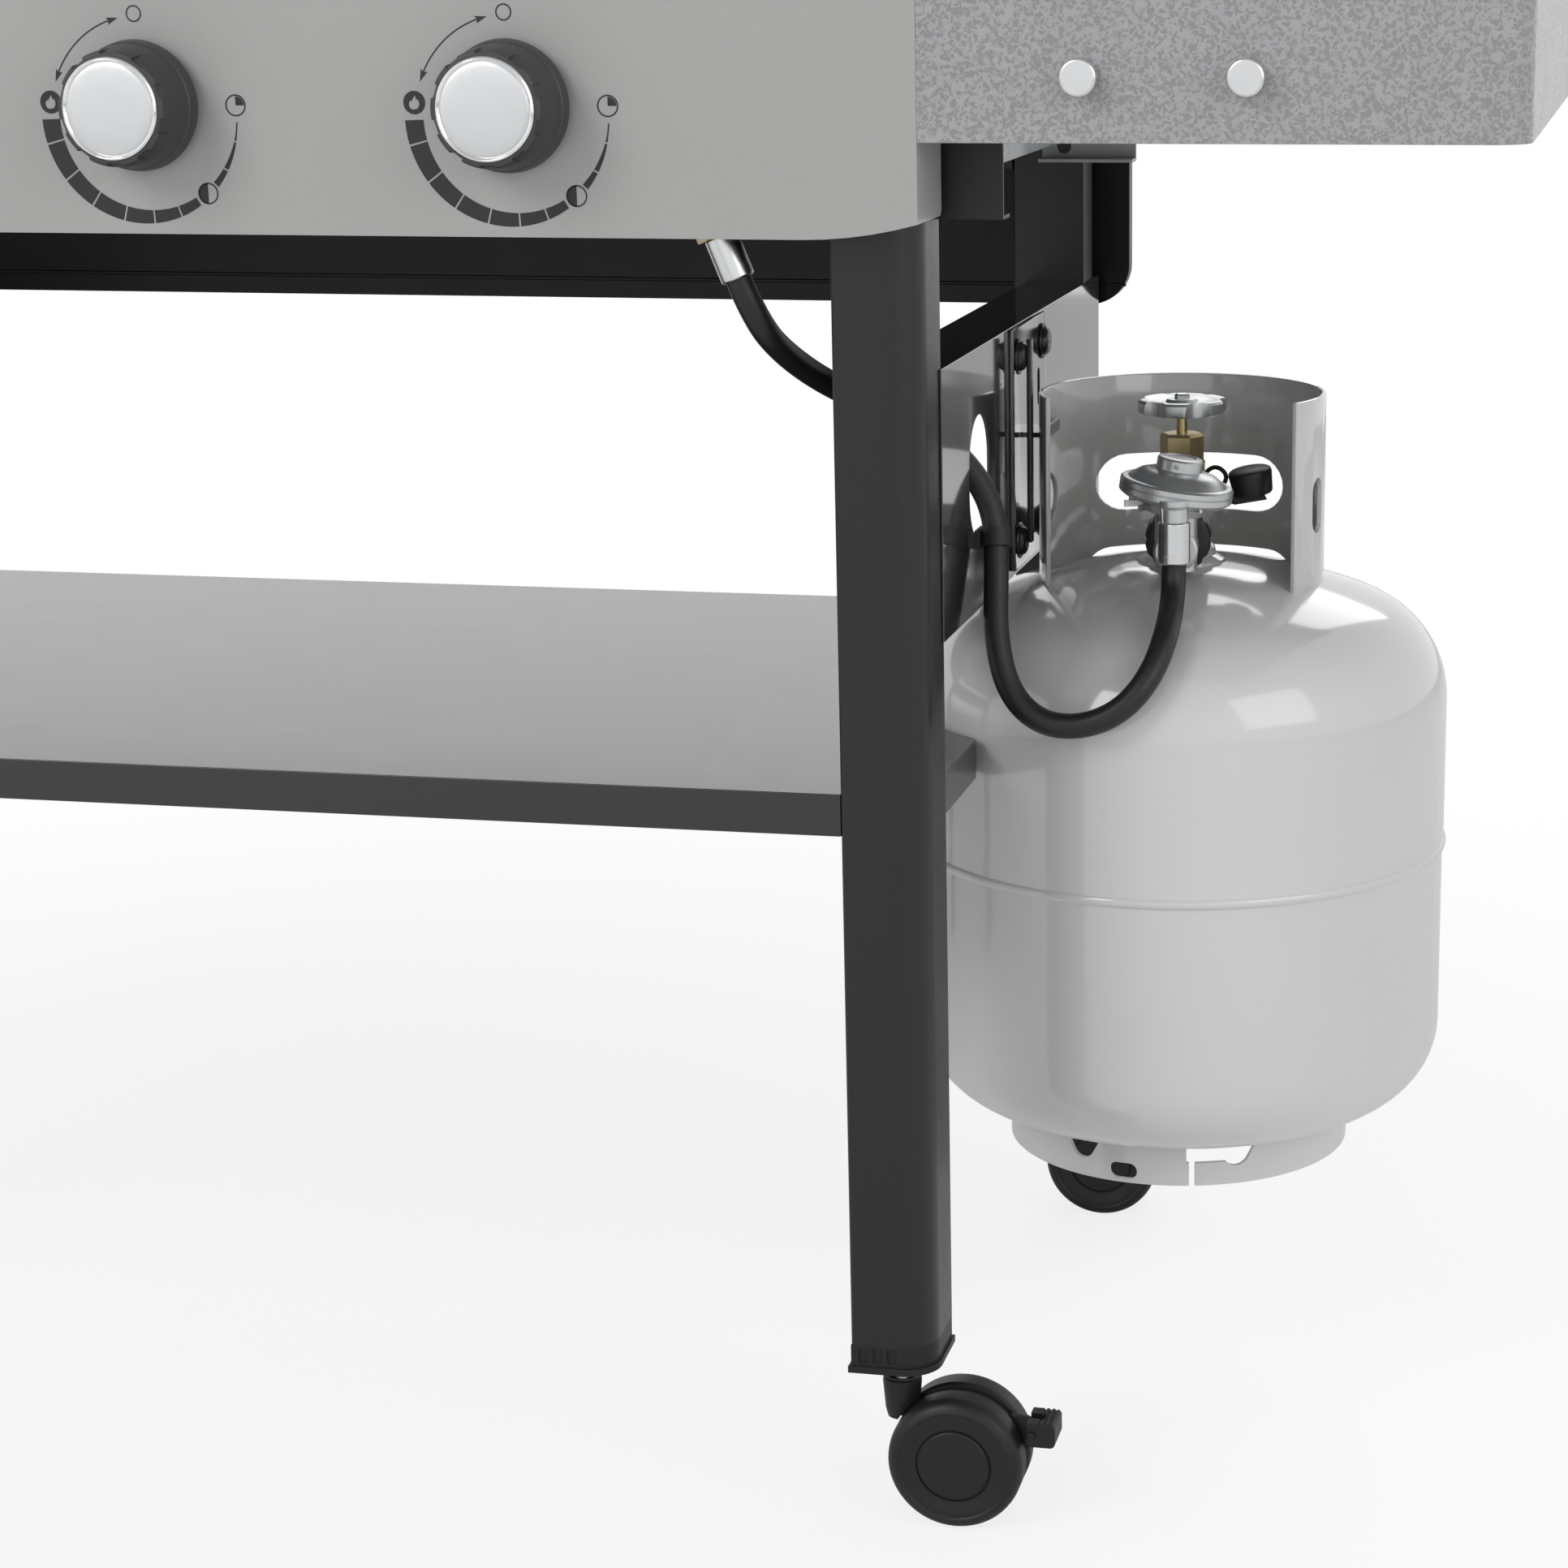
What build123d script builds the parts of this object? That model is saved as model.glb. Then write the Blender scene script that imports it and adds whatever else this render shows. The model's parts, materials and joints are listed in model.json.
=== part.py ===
from build123d import *
import math
import os

# Gas barbecue grill on a cart: millimetres, +Z up, +X to the user's right, the user stands at -Y.
# The origin is the middle of the footprint on the ground.

# ---- Driving dimensions -------------------------------------------------------------------------
cart_width = 1010.0         # outer faces of the legs
cart_depth = 528.0          # front of the front legs to the back of the rear legs
leg_width, leg_depth, leg_round, leg_wall = 46.0, 50.0, 20.0, 1.6
leg_foot_z = 107.0          # bottom end of the steel leg
cap_height, cap_lip, cap_overhang = 16.0, 4.0, 1.5
frame_top_z = 730.0         # top of the legs, underside of the cook box
rail_height, rail_depth, rail_wall = 22.0, 18.0, 1.5
sheet = 1.2                 # general sheet metal gauge

shelf_z, shelf_edge, shelf_hem = 418.0, 23.0, 14.0
shelf_inset = 1.5           # bottom shelf edge behind the leg faces
side_panel_z, side_panel_height, side_flange = 492.0, 145.0, 38.0
side_panel_lap = 4.0        # side panel's lap over the front leg

panel_bottom_z, panel_height, panel_stand_off, panel_side_gap = 709.0, 161.0, 17.0, 4.0
panel_return, panel_sweep, panel_sweep_rise, panel_sheet = 56.0, 60.0, 8.0, 1.5

box_front_y, box_height, box_wall, box_rim = 40.0, 155.0, 2.0, 12.0
ledge_width, ledge_thickness = 14.0, 2.0
rear_panel_gap, rear_panel_side, rear_panel_drop, rear_panel_hem = 15.0, 19.0, 114.0, 12.0
rear_panel_corner = 26.0

knob_count, knob_spacing, knob_height_on_panel = 4, 199.5, 66.0
knob_base_r, knob_front_r, knob_cap_r = 33.5, 29.5, 25.5
knob_length, knob_cap_proud, knob_push, knob_gap = 33.0, 3.0, 4.0, 5.0
knob_grips, grip_width, grip_depth, grip_length = 10, 8.0, 2.2, 17.0
stem_r, stem_clearance, stem_grip = 4.0, 0.05, 22.0
valve_width, valve_height, valve_depth = 30.0, 34.0, 24.0
manifold_r, manifold_wall, manifold_drop, manifold_y = 10.0, 1.5, 30.0, 16.0

burner_r, burner_wall, burner_z, burner_port_r, burner_ports = 12.5, 1.2, 800.0, 1.6, 14
tamer_width, tamer_rise, tamer_z = 90.0, 22.0, 826.0
grate_z, grate_depth_z, grate_bar, grate_frame, grate_gap, grate_bars = 862.0, 16.0, 7.0, 10.0, 2.0, 19
tray_width, tray_depth, tray_height, tray_lip, tray_play = 320.0, 380.0, 14.0, 10.0, 0.5
drain_width, drain_depth = 240.0, 300.0

side_shelf_width, side_shelf_depth, side_shelf_height, side_shelf_drop = 300.0, 500.0, 113.0, 757.0
side_shelf_corner, bracket_size, bracket_height, bracket_sheet = 18.0, 34.0, 34.0, 2.0
peg_r, peg_length, peg_rise, peg_inset, peg_pitch = 9.3, 11.0, 32.0, 82.4, 81.8

lid_side_over, lid_front_over, lid_height, lid_wall, lid_seat = 9.0, 12.0, 235.0, 1.6, 0.4
lid_front_lean, lid_front_rise = 46.0, 128.0
hinge_inset, hinge_pin_r, hinge_eye_r, hinge_width, hinge_ear, hinge_play = 120.0, 3.0, 8.0, 34.0, 5.0, 0.4
hinge_clearance = 1.0       # between the cook box's rim and the hinge eye
handle_r, handle_wall, handle_half, handle_stand_off, handle_post = 12.5, 1.5, 420.0, 44.0, 26.0
gauge_r, gauge_depth, needle_length = 34.0, 12.0, 22.0

tank_r, tank_wall, tank_out, tank_back, tank_ring_z = 156.0, 2.6, 95.3, 265.8, 148.0
tank_cyl_bottom, tank_cyl_top, tank_dome_bottom, tank_dome_top = 76.0, 272.0, 57.0, 80.0
tank_knuckle_top, tank_knuckle_bottom = 62.0, 48.0
tank_seam, seam_height, seam_proud = 186.0, 7.0, 1.6
foot_ring_r, foot_ring_wall, collar_r, collar_wall, collar_top = 101.6, 2.6, 83.0, 2.6, 450.0
collar_open = 128.0         # degrees of the collar that are open towards the user
neck_r, neck_height, neck_sink, valve_r, valve_top = 20.0, 8.0, 3.0, 14.0, 432.0
handwheel_r, handwheel_z, handwheel_lobes = 26.0, 437.0, 6
outlet_angle, outlet_z = 6.0, 371.0
nut_r, nut_start, nut_length = 19.0, 26.0, 24.0
regulator_r, regulator_reach, regulator_z, regulator_thickness = 32.0, 72.0, 405.0, 12.0
regulator_port = 26.0       # hose port in front of the regulator's middle
hook_slot_width, hook_slot_height = 40.0, 24.0
hook_lip, hook_lift = 4.0, 5.0   # the bottle lifts over the lip
hook_sheet, hook_width, bracket_plate_y, bracket_plate_z = 3.0, 34.0, 96.0, 140.0
bolt_pitch_y, bolt_pitch_z, bolt_head_r, bolt_head_h = 74.0, 107.0, 8.5, 5.0
bracket_centre_z = 566.5

oval_y, oval_z, oval_width, oval_height = 141.0, 566.0, 52.0, 68.0
hose_r = 7.0
ferrule_r, ferrule_length = 9.0, 24.0

wheel_diameter, wheel_width, wheel_gap, caster_trail = 76.0, 20.0, 7.0, 33.0
caster_stem_r, caster_play, axle_r = 5.5, 0.05, 4.0
hub_r, tread_round, tab_r, tab_rise = 15.0, 5.0, 2.2, 17.0
socket_r, socket_height = 9.0, 26.0

# ---- Places worked out from them ----------------------------------------------------------------
side_x = cart_width / 2                                    # outer face of the right legs
front_reach = panel_stand_off + knob_gap + knob_length + knob_cap_proud
hinge_back = rear_panel_gap + box_rim + hinge_eye_r + hinge_clearance   # hinge axis behind the rear legs
rear_reach = hinge_back + hinge_eye_r
front_y = front_reach - (cart_depth + front_reach + rear_reach) / 2   # front face of the legs
back_y = front_y + cart_depth
panel_y = front_y - panel_stand_off                        # front face of the control panel
panel_half = side_x + panel_side_gap
box_y0, box_y1 = front_y + box_front_y, back_y + rear_panel_gap
box_half = side_x - 2.0
rim_z = frame_top_z + box_height
knob_z = panel_bottom_z + knob_height_on_panel
knob_xs = [(i - (knob_count - 1) / 2) * knob_spacing for i in range(knob_count)]
shelf_top_z = side_shelf_drop + side_shelf_height
tank_x, tank_y = side_x + tank_out, front_y + tank_back
hinge_y, hinge_z = back_y + hinge_back, rim_z + hinge_eye_r
corners = {"front_left": (-1, -1), "front_right": (1, -1), "rear_left": (-1, 1), "rear_right": (1, 1)}

os.makedirs("parts", exist_ok=True)


def save(piece, label):
    """Label a finished piece and write it to its own STEP file."""
    piece.label = label
    export_step(piece, f"parts/{label}.step")


def block(x0, x1, y0, y1, z0, z1, mode=Mode.ADD):
    """A box between two corners, inside the part that is being built."""
    with Locations(((x0 + x1) / 2, (y0 + y1) / 2, (z0 + z1) / 2)):
        Box(abs(x1 - x0), abs(y1 - y0), abs(z1 - z0), mode=mode)


def rod(start, end, radius, mode=Mode.ADD):
    """A round bar from one point to another, inside the part that is being built."""
    axis = Vector(*end) - Vector(*start)
    with BuildSketch(Plane(origin=start, z_dir=axis)) as section:
        Circle(radius)
    extrude(section.sketch, amount=axis.length, mode=mode)


def leg_centre(sx, sy):
    """The middle of a leg's section; sx and sy are -1 or 1 for left, right, front and rear."""
    x = sx * (side_x - leg_width / 2)
    y = (front_y + leg_depth / 2) if sy < 0 else (back_y - leg_depth / 2)
    return x, y


# ---- Legs, their plugs and the rails ------------------------------------------------------------
def leg_section(sx, sy, shrink=0.0):
    """D-shaped section: the outer corner at the front or the back is well rounded."""
    with BuildSketch(Plane.XY.offset(leg_foot_z)) as section:
        with Locations(leg_centre(sx, sy)):
            Rectangle(leg_width - 2 * shrink, leg_depth - 2 * shrink)
        outer = section.vertices().sort_by(Axis((0, 0, 0), (sx, sy, 0)))[-1]
        fillet(outer, leg_round - shrink)
        fillet([v for v in section.vertices() if abs(v.X) < side_x - leg_width + shrink + 0.5], 3.0)
    return section.sketch


for corner, (sx, sy) in corners.items():
    with BuildPart() as leg:
        extrude(leg_section(sx, sy), amount=frame_top_z - leg_foot_z)
        extrude(leg_section(sx, sy, leg_wall), amount=frame_top_z - leg_foot_z, mode=Mode.SUBTRACT)
    save(leg.part, f"leg_{corner}")

with BuildPart() as leg_plugs:
    for sx, sy in corners.values():
        x, y = leg_centre(sx, sy)
        plug_z = leg_foot_z - cap_height
        with BuildSketch(Plane.XY.offset(plug_z)) as sole:
            with Locations((x, y)):
                Rectangle(leg_width + 2 * cap_overhang, leg_depth + 2 * cap_overhang)
            fillet(sole.vertices().sort_by(Axis((0, 0, 0), (sx, sy, 0)))[-1], leg_round)
        extrude(amount=cap_lip)
        with BuildSketch(Plane.XY.offset(plug_z + cap_lip)) as body:
            with Locations((x, y)):
                Rectangle(leg_width, leg_depth)
            fillet(body.vertices().sort_by(Axis((0, 0, 0), (sx, sy, 0)))[-1], leg_round)
        extrude(amount=cap_height - cap_lip)
        ribs = 5
        for i in range(ribs):                       # moulded recesses along the front or back face
            rx = x + (i - (ribs - 1) / 2) * 8.0
            face_y = y + sy * leg_depth / 2
            if abs(rx - x - sx * leg_width / 2) > leg_round:
                block(rx - 2.5, rx + 2.5, face_y - 1.2, face_y + 1.2,
                      plug_z + cap_lip + 2.0, leg_foot_z - 2.0, Mode.SUBTRACT)
        with Locations((x, y, plug_z)):
            Cylinder(caster_stem_r + caster_play, 2 * (cap_height - 2.0), mode=Mode.SUBTRACT)
save(leg_plugs.part, "leg_plugs")

with BuildPart() as frame_rails:
    for y0 in (front_y + leg_depth - rail_depth, back_y - leg_depth):
        x0 = side_x - leg_width
        block(-x0, x0, y0, y0 + rail_depth, frame_top_z - rail_height, frame_top_z)
        block(-x0, x0, y0 + rail_wall, y0 + rail_depth - rail_wall,
              frame_top_z - rail_height + rail_wall, frame_top_z - rail_wall, Mode.SUBTRACT)
save(frame_rails.part, "frame_rails")

# ---- Bottom shelf: a folded tray with a bay cut for the gas bottle -------------------------------
shelf_y0, shelf_y1 = front_y + shelf_inset, back_y - shelf_inset
shelf_half = side_x - shelf_inset
bay_r = tank_r + 5.0


def shelf_outline(z, shrink):
    """Plan of the shelf, notched at the legs and at the gas bottle."""
    with BuildSketch(Plane.XY.offset(z)) as plan:
        with Locations((0, (shelf_y0 + shelf_y1) / 2)):
            Rectangle(2 * (shelf_half - shrink), shelf_y1 - shelf_y0 - 2 * shrink)
        for sx, sy in corners.values():
            with Locations(leg_centre(sx, sy)):
                Rectangle(leg_width + 2 * shrink, leg_depth + 2 * shrink, mode=Mode.SUBTRACT)
        for sx, sy in corners.values():             # nothing is left outside a leg
            x, y = leg_centre(sx, sy)
            with Locations((x + sx * leg_width / 2, y + sy * leg_depth / 2)):
                Rectangle(leg_width, leg_depth, mode=Mode.SUBTRACT)
        with Locations((tank_x, tank_y)):
            Circle(bay_r + shrink, mode=Mode.SUBTRACT)
    return plan.sketch


with BuildPart() as bottom_shelf:
    extrude(shelf_outline(shelf_z - shelf_edge, 0.0), amount=shelf_edge)
    extrude(shelf_outline(shelf_z - shelf_edge, sheet), amount=shelf_edge - sheet, mode=Mode.SUBTRACT)
    for y0, y1 in ((shelf_y0, shelf_y0 + shelf_hem), (shelf_y1 - shelf_hem, shelf_y1)):
        x0 = side_x - leg_width - 1.0
        block(-x0, x0, y0, y1, shelf_z - shelf_edge, shelf_z - shelf_edge + sheet)
save(bottom_shelf.part, "bottom_shelf")

# ---- Side panels --------------------------------------------------------------------------------
for name, sx in (("side_panel_left", -1), ("side_panel_right", 1)):
    z0, z1 = side_panel_z, side_panel_z + side_panel_height
    with BuildPart() as side_panel:
        block(sx * side_x, sx * (side_x + sheet), front_y + leg_depth - side_panel_lap, back_y, z0, z1)
        for z in (z0, z1 - sheet):
            block(sx * (side_x - side_flange), sx * side_x,
                  front_y + leg_depth, back_y - leg_depth, z, z + sheet)
        if sx > 0:                                  # the hose leaves through an oval hole
            with BuildSketch(Plane.YZ.offset(side_x - 1.0)):
                with Locations((front_y + oval_y, oval_z)):
                    SlotOverall(oval_height, oval_width, rotation=90)
            extrude(amount=sheet + 2.0, mode=Mode.SUBTRACT)
            with BuildSketch(Plane.YZ.offset(side_x - 1.0)):
                with Locations((front_y + tank_back + 37.0, bracket_centre_z + 30.0)):
                    SlotOverall(18.0, 6.0, rotation=90)
            extrude(amount=sheet + 2.0, mode=Mode.SUBTRACT)
    save(side_panel.part, name)

# ---- Control panel: a flat face with rounded lower corners and returned ends ---------------------
panel_z1 = panel_bottom_z + panel_height
with BuildPart() as control_panel:
    with BuildSketch(Plane.XZ.offset(-panel_y - panel_sheet)):
        with BuildLine():
            flat = panel_half - panel_sweep
            end_z = panel_bottom_z + panel_sweep_rise
            for sx in (-1, 1):
                TangentArc((sx * flat, panel_bottom_z), (sx * panel_half, end_z), tangent=(sx, 0))
                Line((sx * panel_half, end_z), (sx * panel_half, panel_z1))
            Line((-flat, panel_bottom_z), (flat, panel_bottom_z))
            Line((-panel_half, panel_z1), (panel_half, panel_z1))
        make_face()
    extrude(amount=panel_sheet)
    for sx in (-1, 1):
        block(sx * (panel_half - panel_sheet), sx * panel_half, panel_y + panel_sheet, panel_y + panel_return,
              end_z, panel_z1)
        edges = control_panel.edges().filter_by(Axis.X).filter_by(
            lambda e: abs(e.center().Y - panel_y - panel_return) < 0.1
            and abs(e.center().Z - end_z) < 0.1 and e.center().X * sx > 0)
        chamfer(edges, 3.0)
    block(-panel_half + panel_sheet, panel_half - panel_sheet, panel_y + panel_sheet, front_y + box_front_y,
          panel_z1 - panel_sheet, panel_z1)
    block(-flat, flat, panel_y + panel_sheet, panel_y + panel_sheet + 10.0, panel_bottom_z,
          panel_bottom_z + sheet)
    with Locations([(x, panel_y, knob_z) for x in knob_xs]):
        Cylinder(stem_r + 2.0, 8 * panel_sheet, rotation=(90, 0, 0), mode=Mode.SUBTRACT)
save(control_panel.part, "control_panel")

# ---- Cook box and what hangs in it ---------------------------------------------------------------
ledge_z = grate_z - ledge_thickness
with BuildPart() as cook_box:
    block(-box_half, box_half, box_y0, box_y1, frame_top_z, rim_z)
    block(-box_half + box_wall, box_half - box_wall, box_y0 + box_wall, box_y1 - box_wall,
          frame_top_z + box_wall, rim_z, Mode.SUBTRACT)
    for y0, y1 in ((box_y0 + box_wall, box_y0 + box_wall + ledge_width),
                   (box_y1 - box_wall - ledge_width, box_y1 - box_wall)):
        for z in (ledge_z, tamer_z - ledge_thickness):
            block(-box_half + box_wall, box_half - box_wall, y0, y1, z, z + ledge_thickness)
    block(-box_half, box_half, box_y1, box_y1 + box_rim, rim_z - box_wall, rim_z)
    for sx in (-1, 1):
        block(sx * box_half, sx * (box_half + box_rim), box_y0, box_y1 + box_rim, rim_z - box_wall, rim_z)
    block(-drain_width / 2, drain_width / 2, front_y + tank_back - drain_depth / 2,
          front_y + tank_back + drain_depth / 2, frame_top_z, frame_top_z + box_wall, Mode.SUBTRACT)
    with Locations([(x, box_y0, burner_z) for x in knob_xs]):
        Cylinder(burner_r + 0.05, 4 * box_wall, rotation=(90, 0, 0), mode=Mode.SUBTRACT)
    for sy in (-1, 1):                              # runners for the grease tray
        y = front_y + tank_back + sy * (tray_depth / 2 + tray_play)
        runner_z = frame_top_z - tray_height - 2 * tray_play
        block(-tray_width / 2 - 60.0, tray_width / 2, y, y + sy * 1.5, runner_z, frame_top_z)
        block(-tray_width / 2 - 60.0, tray_width / 2, y + sy * 1.5, y - sy * tray_lip,
              runner_z - 1.5, runner_z)
save(cook_box.part, "cook_box")

with BuildPart() as grease_tray:
    y0 = front_y + tank_back - tray_depth / 2
    z1 = frame_top_z - tray_play
    block(-tray_width / 2, tray_width / 2, y0, y0 + tray_depth, z1 - tray_height, z1)
    block(-tray_width / 2 + sheet, tray_width / 2 - sheet, y0 + sheet, y0 + tray_depth - sheet,
          z1 - tray_height + sheet, z1, Mode.SUBTRACT)
    block(-tray_width / 2 - 14.0, -tray_width / 2, y0 + tray_depth / 2 - 40.0, y0 + tray_depth / 2 + 40.0,
          z1 - tray_height, z1 - tray_height + 3.0)
save(grease_tray.part, "grease_tray")

with BuildPart() as rear_panel:
    half, z1 = side_x + rear_panel_side, rim_z - box_wall
    z0 = frame_top_z - rear_panel_drop
    with BuildSketch(Plane.XZ.offset(-box_y1 - rear_panel_hem)) as outline:
        with Locations((0, (z0 + z1) / 2)):
            Rectangle(2 * half, z1 - z0)
        fillet(outline.vertices().sort_by(Axis.Y)[:2], rear_panel_corner)
    extrude(amount=rear_panel_hem)
    with BuildSketch(Plane.XZ.offset(-box_y1 - rear_panel_hem)) as inner:
        with Locations((0, (z0 + z1) / 2 + sheet)):
            Rectangle(2 * (half - sheet), z1 - z0)
        fillet(inner.vertices().sort_by(Axis.Y)[:2], rear_panel_corner - sheet)
    extrude(amount=rear_panel_hem - sheet, mode=Mode.SUBTRACT)
    ridge_z = z0 + rear_panel_hem
    block(-half + 2.0, half - 2.0, box_y1 - 1.2, box_y1, ridge_z, ridge_z + 2.0)
save(rear_panel.part, "rear_panel")

with BuildPart() as burner_tubes:
    y_end = box_y1 - box_wall
    for x in knob_xs:
        rod((x, box_y0 - 4.0, burner_z), (x, y_end, burner_z), burner_r)
        rod((x, box_y0 - 4.0, burner_z), (x, y_end - burner_wall, burner_z), burner_r - burner_wall,
            Mode.SUBTRACT)
    pitch = (box_y1 - box_y0 - 100.0) / (burner_ports - 1)
    with BuildSketch(Plane.XY.offset(burner_z)):
        with Locations([(x, (box_y0 + box_y1) / 2) for x in knob_xs]):
            with GridLocations(2 * burner_r - 6.0, pitch, 2, burner_ports):
                Circle(burner_port_r)
    extrude(amount=burner_r + 1.0, mode=Mode.SUBTRACT)
save(burner_tubes.part, "burner_tubes")

with BuildPart() as flame_tamers:
    for x in knob_xs:
        with BuildSketch(Plane.XZ.offset(-box_y1 + box_wall)):
            with BuildLine():
                Polyline((x - tamer_width / 2, tamer_z), (x, tamer_z + tamer_rise),
                         (x + tamer_width / 2, tamer_z),
                         (x + tamer_width / 2 - 4.0, tamer_z), (x, tamer_z + tamer_rise - 2.0),
                         (x - tamer_width / 2 + 4.0, tamer_z), close=True)
            make_face()
        extrude(amount=box_y1 - box_y0 - 2 * box_wall)
save(flame_tamers.part, "flame_tamers")

for name, sx in (("grate_left", -1), ("grate_right", 1)):
    x0, x1 = sx * grate_gap, sx * (box_half - box_wall - 2.0)
    y0, y1 = box_y0 + box_wall + 2.0, box_y1 - box_wall - 2.0
    with BuildPart() as grate:
        block(x0, x1, y0, y1, grate_z, grate_z + grate_depth_z)
        block(x0 + sx * grate_frame, x1 - sx * grate_frame, y0 + grate_frame, y1 - grate_frame,
              grate_z, grate_z + grate_depth_z, Mode.SUBTRACT)
        inner = abs(x1 - x0) - 2 * grate_frame
        for i in range(grate_bars):
            x = x0 + sx * (grate_frame + inner * (i + 1) / (grate_bars + 1))
            block(x - grate_bar / 2, x + grate_bar / 2, y0 + grate_frame, y1 - grate_frame,
                  grate_z, grate_z + grate_depth_z)
        block(x0 + sx * grate_frame, x1 - sx * grate_frame, (y0 + y1) / 2 - grate_bar / 2,
              (y0 + y1) / 2 + grate_bar / 2, grate_z, grate_z + grate_depth_z - 4.0)
    save(grate.part, name)

# ---- Gas train behind the panel ------------------------------------------------------------------
manifold_axis_y, manifold_z = front_y + manifold_y, knob_z - manifold_drop
inlet_x = side_x - 122.0                            # elbow that turns down to the hose
elbow_r, elbow_drop = 11.0, 26.0
with BuildPart() as manifold:
    x0 = knob_xs[0] - 30.0
    rod((x0, manifold_axis_y, manifold_z), (inlet_x - elbow_r, manifold_axis_y, manifold_z), manifold_r)
    rod((x0 + manifold_wall, manifold_axis_y, manifold_z), (inlet_x - elbow_r, manifold_axis_y, manifold_z),
        manifold_r - manifold_wall, Mode.SUBTRACT)
save(manifold.part, "manifold")

valve_y0 = panel_y + panel_sheet + 1.0
with BuildPart() as gas_valves:
    for x in knob_xs:
        block(x - valve_width / 2, x + valve_width / 2, valve_y0 + 3.0, valve_y0 + 3.0 + valve_depth,
              manifold_z + manifold_r, manifold_z + manifold_r + valve_height)
        rod((x, valve_y0 + 3.0, knob_z), (x, valve_y0 - 0.5, knob_z), 9.0)
        rod((x, valve_y0 + 3.0 + valve_depth, burner_z), (x, box_y0 - 4.0, burner_z), burner_r - burner_wall)
        block(x - 9.0, x + 9.0, valve_y0 + 3.0, valve_y0 + 3.0 + valve_depth,
              manifold_z + manifold_r + valve_height, burner_z + burner_r)
        rod((x, valve_y0 - 1.0, knob_z), (x, valve_y0 + 20.0, knob_z), stem_r + stem_clearance, Mode.SUBTRACT)
save(gas_valves.part, "gas_valves")

# ---- Knobs: each stem can be pushed in, and the knob turns on it ---------------------------------
knob_back_y = panel_y - knob_gap
knob_face_y = knob_back_y - knob_length
for name, x in zip(("left", "inner_left", "inner_right", "right"), knob_xs):
    with BuildPart() as stem:
        rod((x, knob_back_y - stem_grip, knob_z), (x, valve_y0 + 12.0, knob_z), stem_r)
    save(stem.part, f"valve_stem_{name}")

    with BuildPart() as knob:
        with BuildSketch(Plane(origin=(x, knob_back_y, knob_z), z_dir=(0, -1, 0))):
            Circle(knob_base_r)
        extrude(amount=knob_length, taper=math.degrees(math.atan((knob_base_r - knob_front_r) / knob_length)))
        fillet(knob.edges().filter_by(GeomType.CIRCLE).group_by(Axis.Y)[0], 1.5)
        grips = Plane(origin=(x, knob_face_y - 0.5, knob_z), z_dir=(0, 1, 0))
        with BuildSketch(grips):
            with PolarLocations(knob_front_r - grip_depth / 2 + 1.0, knob_grips):
                Rectangle(grip_depth + 2.0, grip_width)
        extrude(amount=grip_length, mode=Mode.SUBTRACT)
        rod((x, knob_back_y + 1.0, knob_z), (x, knob_back_y - stem_grip, knob_z),
            stem_r + stem_clearance, Mode.SUBTRACT)
        rod((x, knob_back_y + 1.0, knob_z), (x, knob_back_y - 6.0, knob_z), knob_base_r - 4.0, Mode.SUBTRACT)
    with BuildPart() as cap:
        with BuildSketch(Plane(origin=(x, knob_face_y, knob_z), z_dir=(0, -1, 0))):
            Circle(knob_cap_r)
        extrude(amount=knob_cap_proud)
        chamfer(cap.edges().group_by(Axis.Y)[0], 1.6)
    save(Compound(children=[knob.part, cap.part]), f"knob_{name}")

# ---- Side shelves, their brackets and the tool pegs ----------------------------------------------
shelf_out = panel_half + side_shelf_width


def side_shelf_plan(sx, z, shrink):
    """Plan of a side shelf with its outer corners rounded."""
    y0, y1 = panel_y, panel_y + side_shelf_depth
    with BuildSketch(Plane.XY.offset(z)) as plan:
        with Locations((sx * (panel_half + shelf_out) / 2, (y0 + y1) / 2)):
            Rectangle(side_shelf_width - 2 * shrink, y1 - y0 - 2 * shrink)
        outer = plan.vertices().sort_by(Axis.X)[-2:] if sx > 0 else plan.vertices().sort_by(Axis.X)[:2]
        fillet(outer, side_shelf_corner - shrink)
    return plan.sketch


for name, sx in (("side_shelf_left", -1), ("side_shelf_right", 1)):
    with BuildPart() as side_shelf:
        extrude(side_shelf_plan(sx, side_shelf_drop, 0.0), amount=side_shelf_height)
        extrude(side_shelf_plan(sx, side_shelf_drop, panel_sheet),
                amount=side_shelf_height - panel_sheet, mode=Mode.SUBTRACT)
    save(side_shelf.part, name)

with BuildPart() as shelf_brackets:
    z0 = frame_top_z - 14.0
    for sx, sy in corners.values():
        y = (front_y + leg_depth) if sy < 0 else (back_y - leg_depth)
        inner, outer = sx * (side_x - 26.0), sx * (side_x + bracket_size)
        block(inner, outer, y, y - sy * bracket_sheet, z0, frame_top_z)
        block(sx * side_x, outer, y, y - sy * bracket_sheet, frame_top_z, side_shelf_drop)
        block(inner, outer, y, y - sy * bracket_size / 2, z0 - bracket_sheet, z0)
        with Locations((sx * (side_x - 12.0), y, z0 + 7.0)):
            Cylinder(4.5, 4 * bracket_sheet, rotation=(90, 0, 0), mode=Mode.SUBTRACT)
save(shelf_brackets.part, "shelf_brackets")

with BuildPart() as tool_pegs:
    for sx in (-1, 1):
        for i in range(2):
            x = sx * (panel_half + peg_inset + i * peg_pitch)
            z = side_shelf_drop + peg_rise
            rod((x, panel_y, z), (x, panel_y - peg_length, z), peg_r)
    fillet(tool_pegs.edges().filter_by(GeomType.CIRCLE).group_by(Axis.Y)[0], 1.5)
save(tool_pegs.part, "tool_pegs")

# ---- Lid, its hinges, handle and temperature gauge -----------------------------------------------
lid_half, lid_z = side_x + lid_side_over, rim_z + lid_seat
lid_y0, lid_y1 = box_y0 - lid_front_over, box_y1 + box_rim


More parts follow.
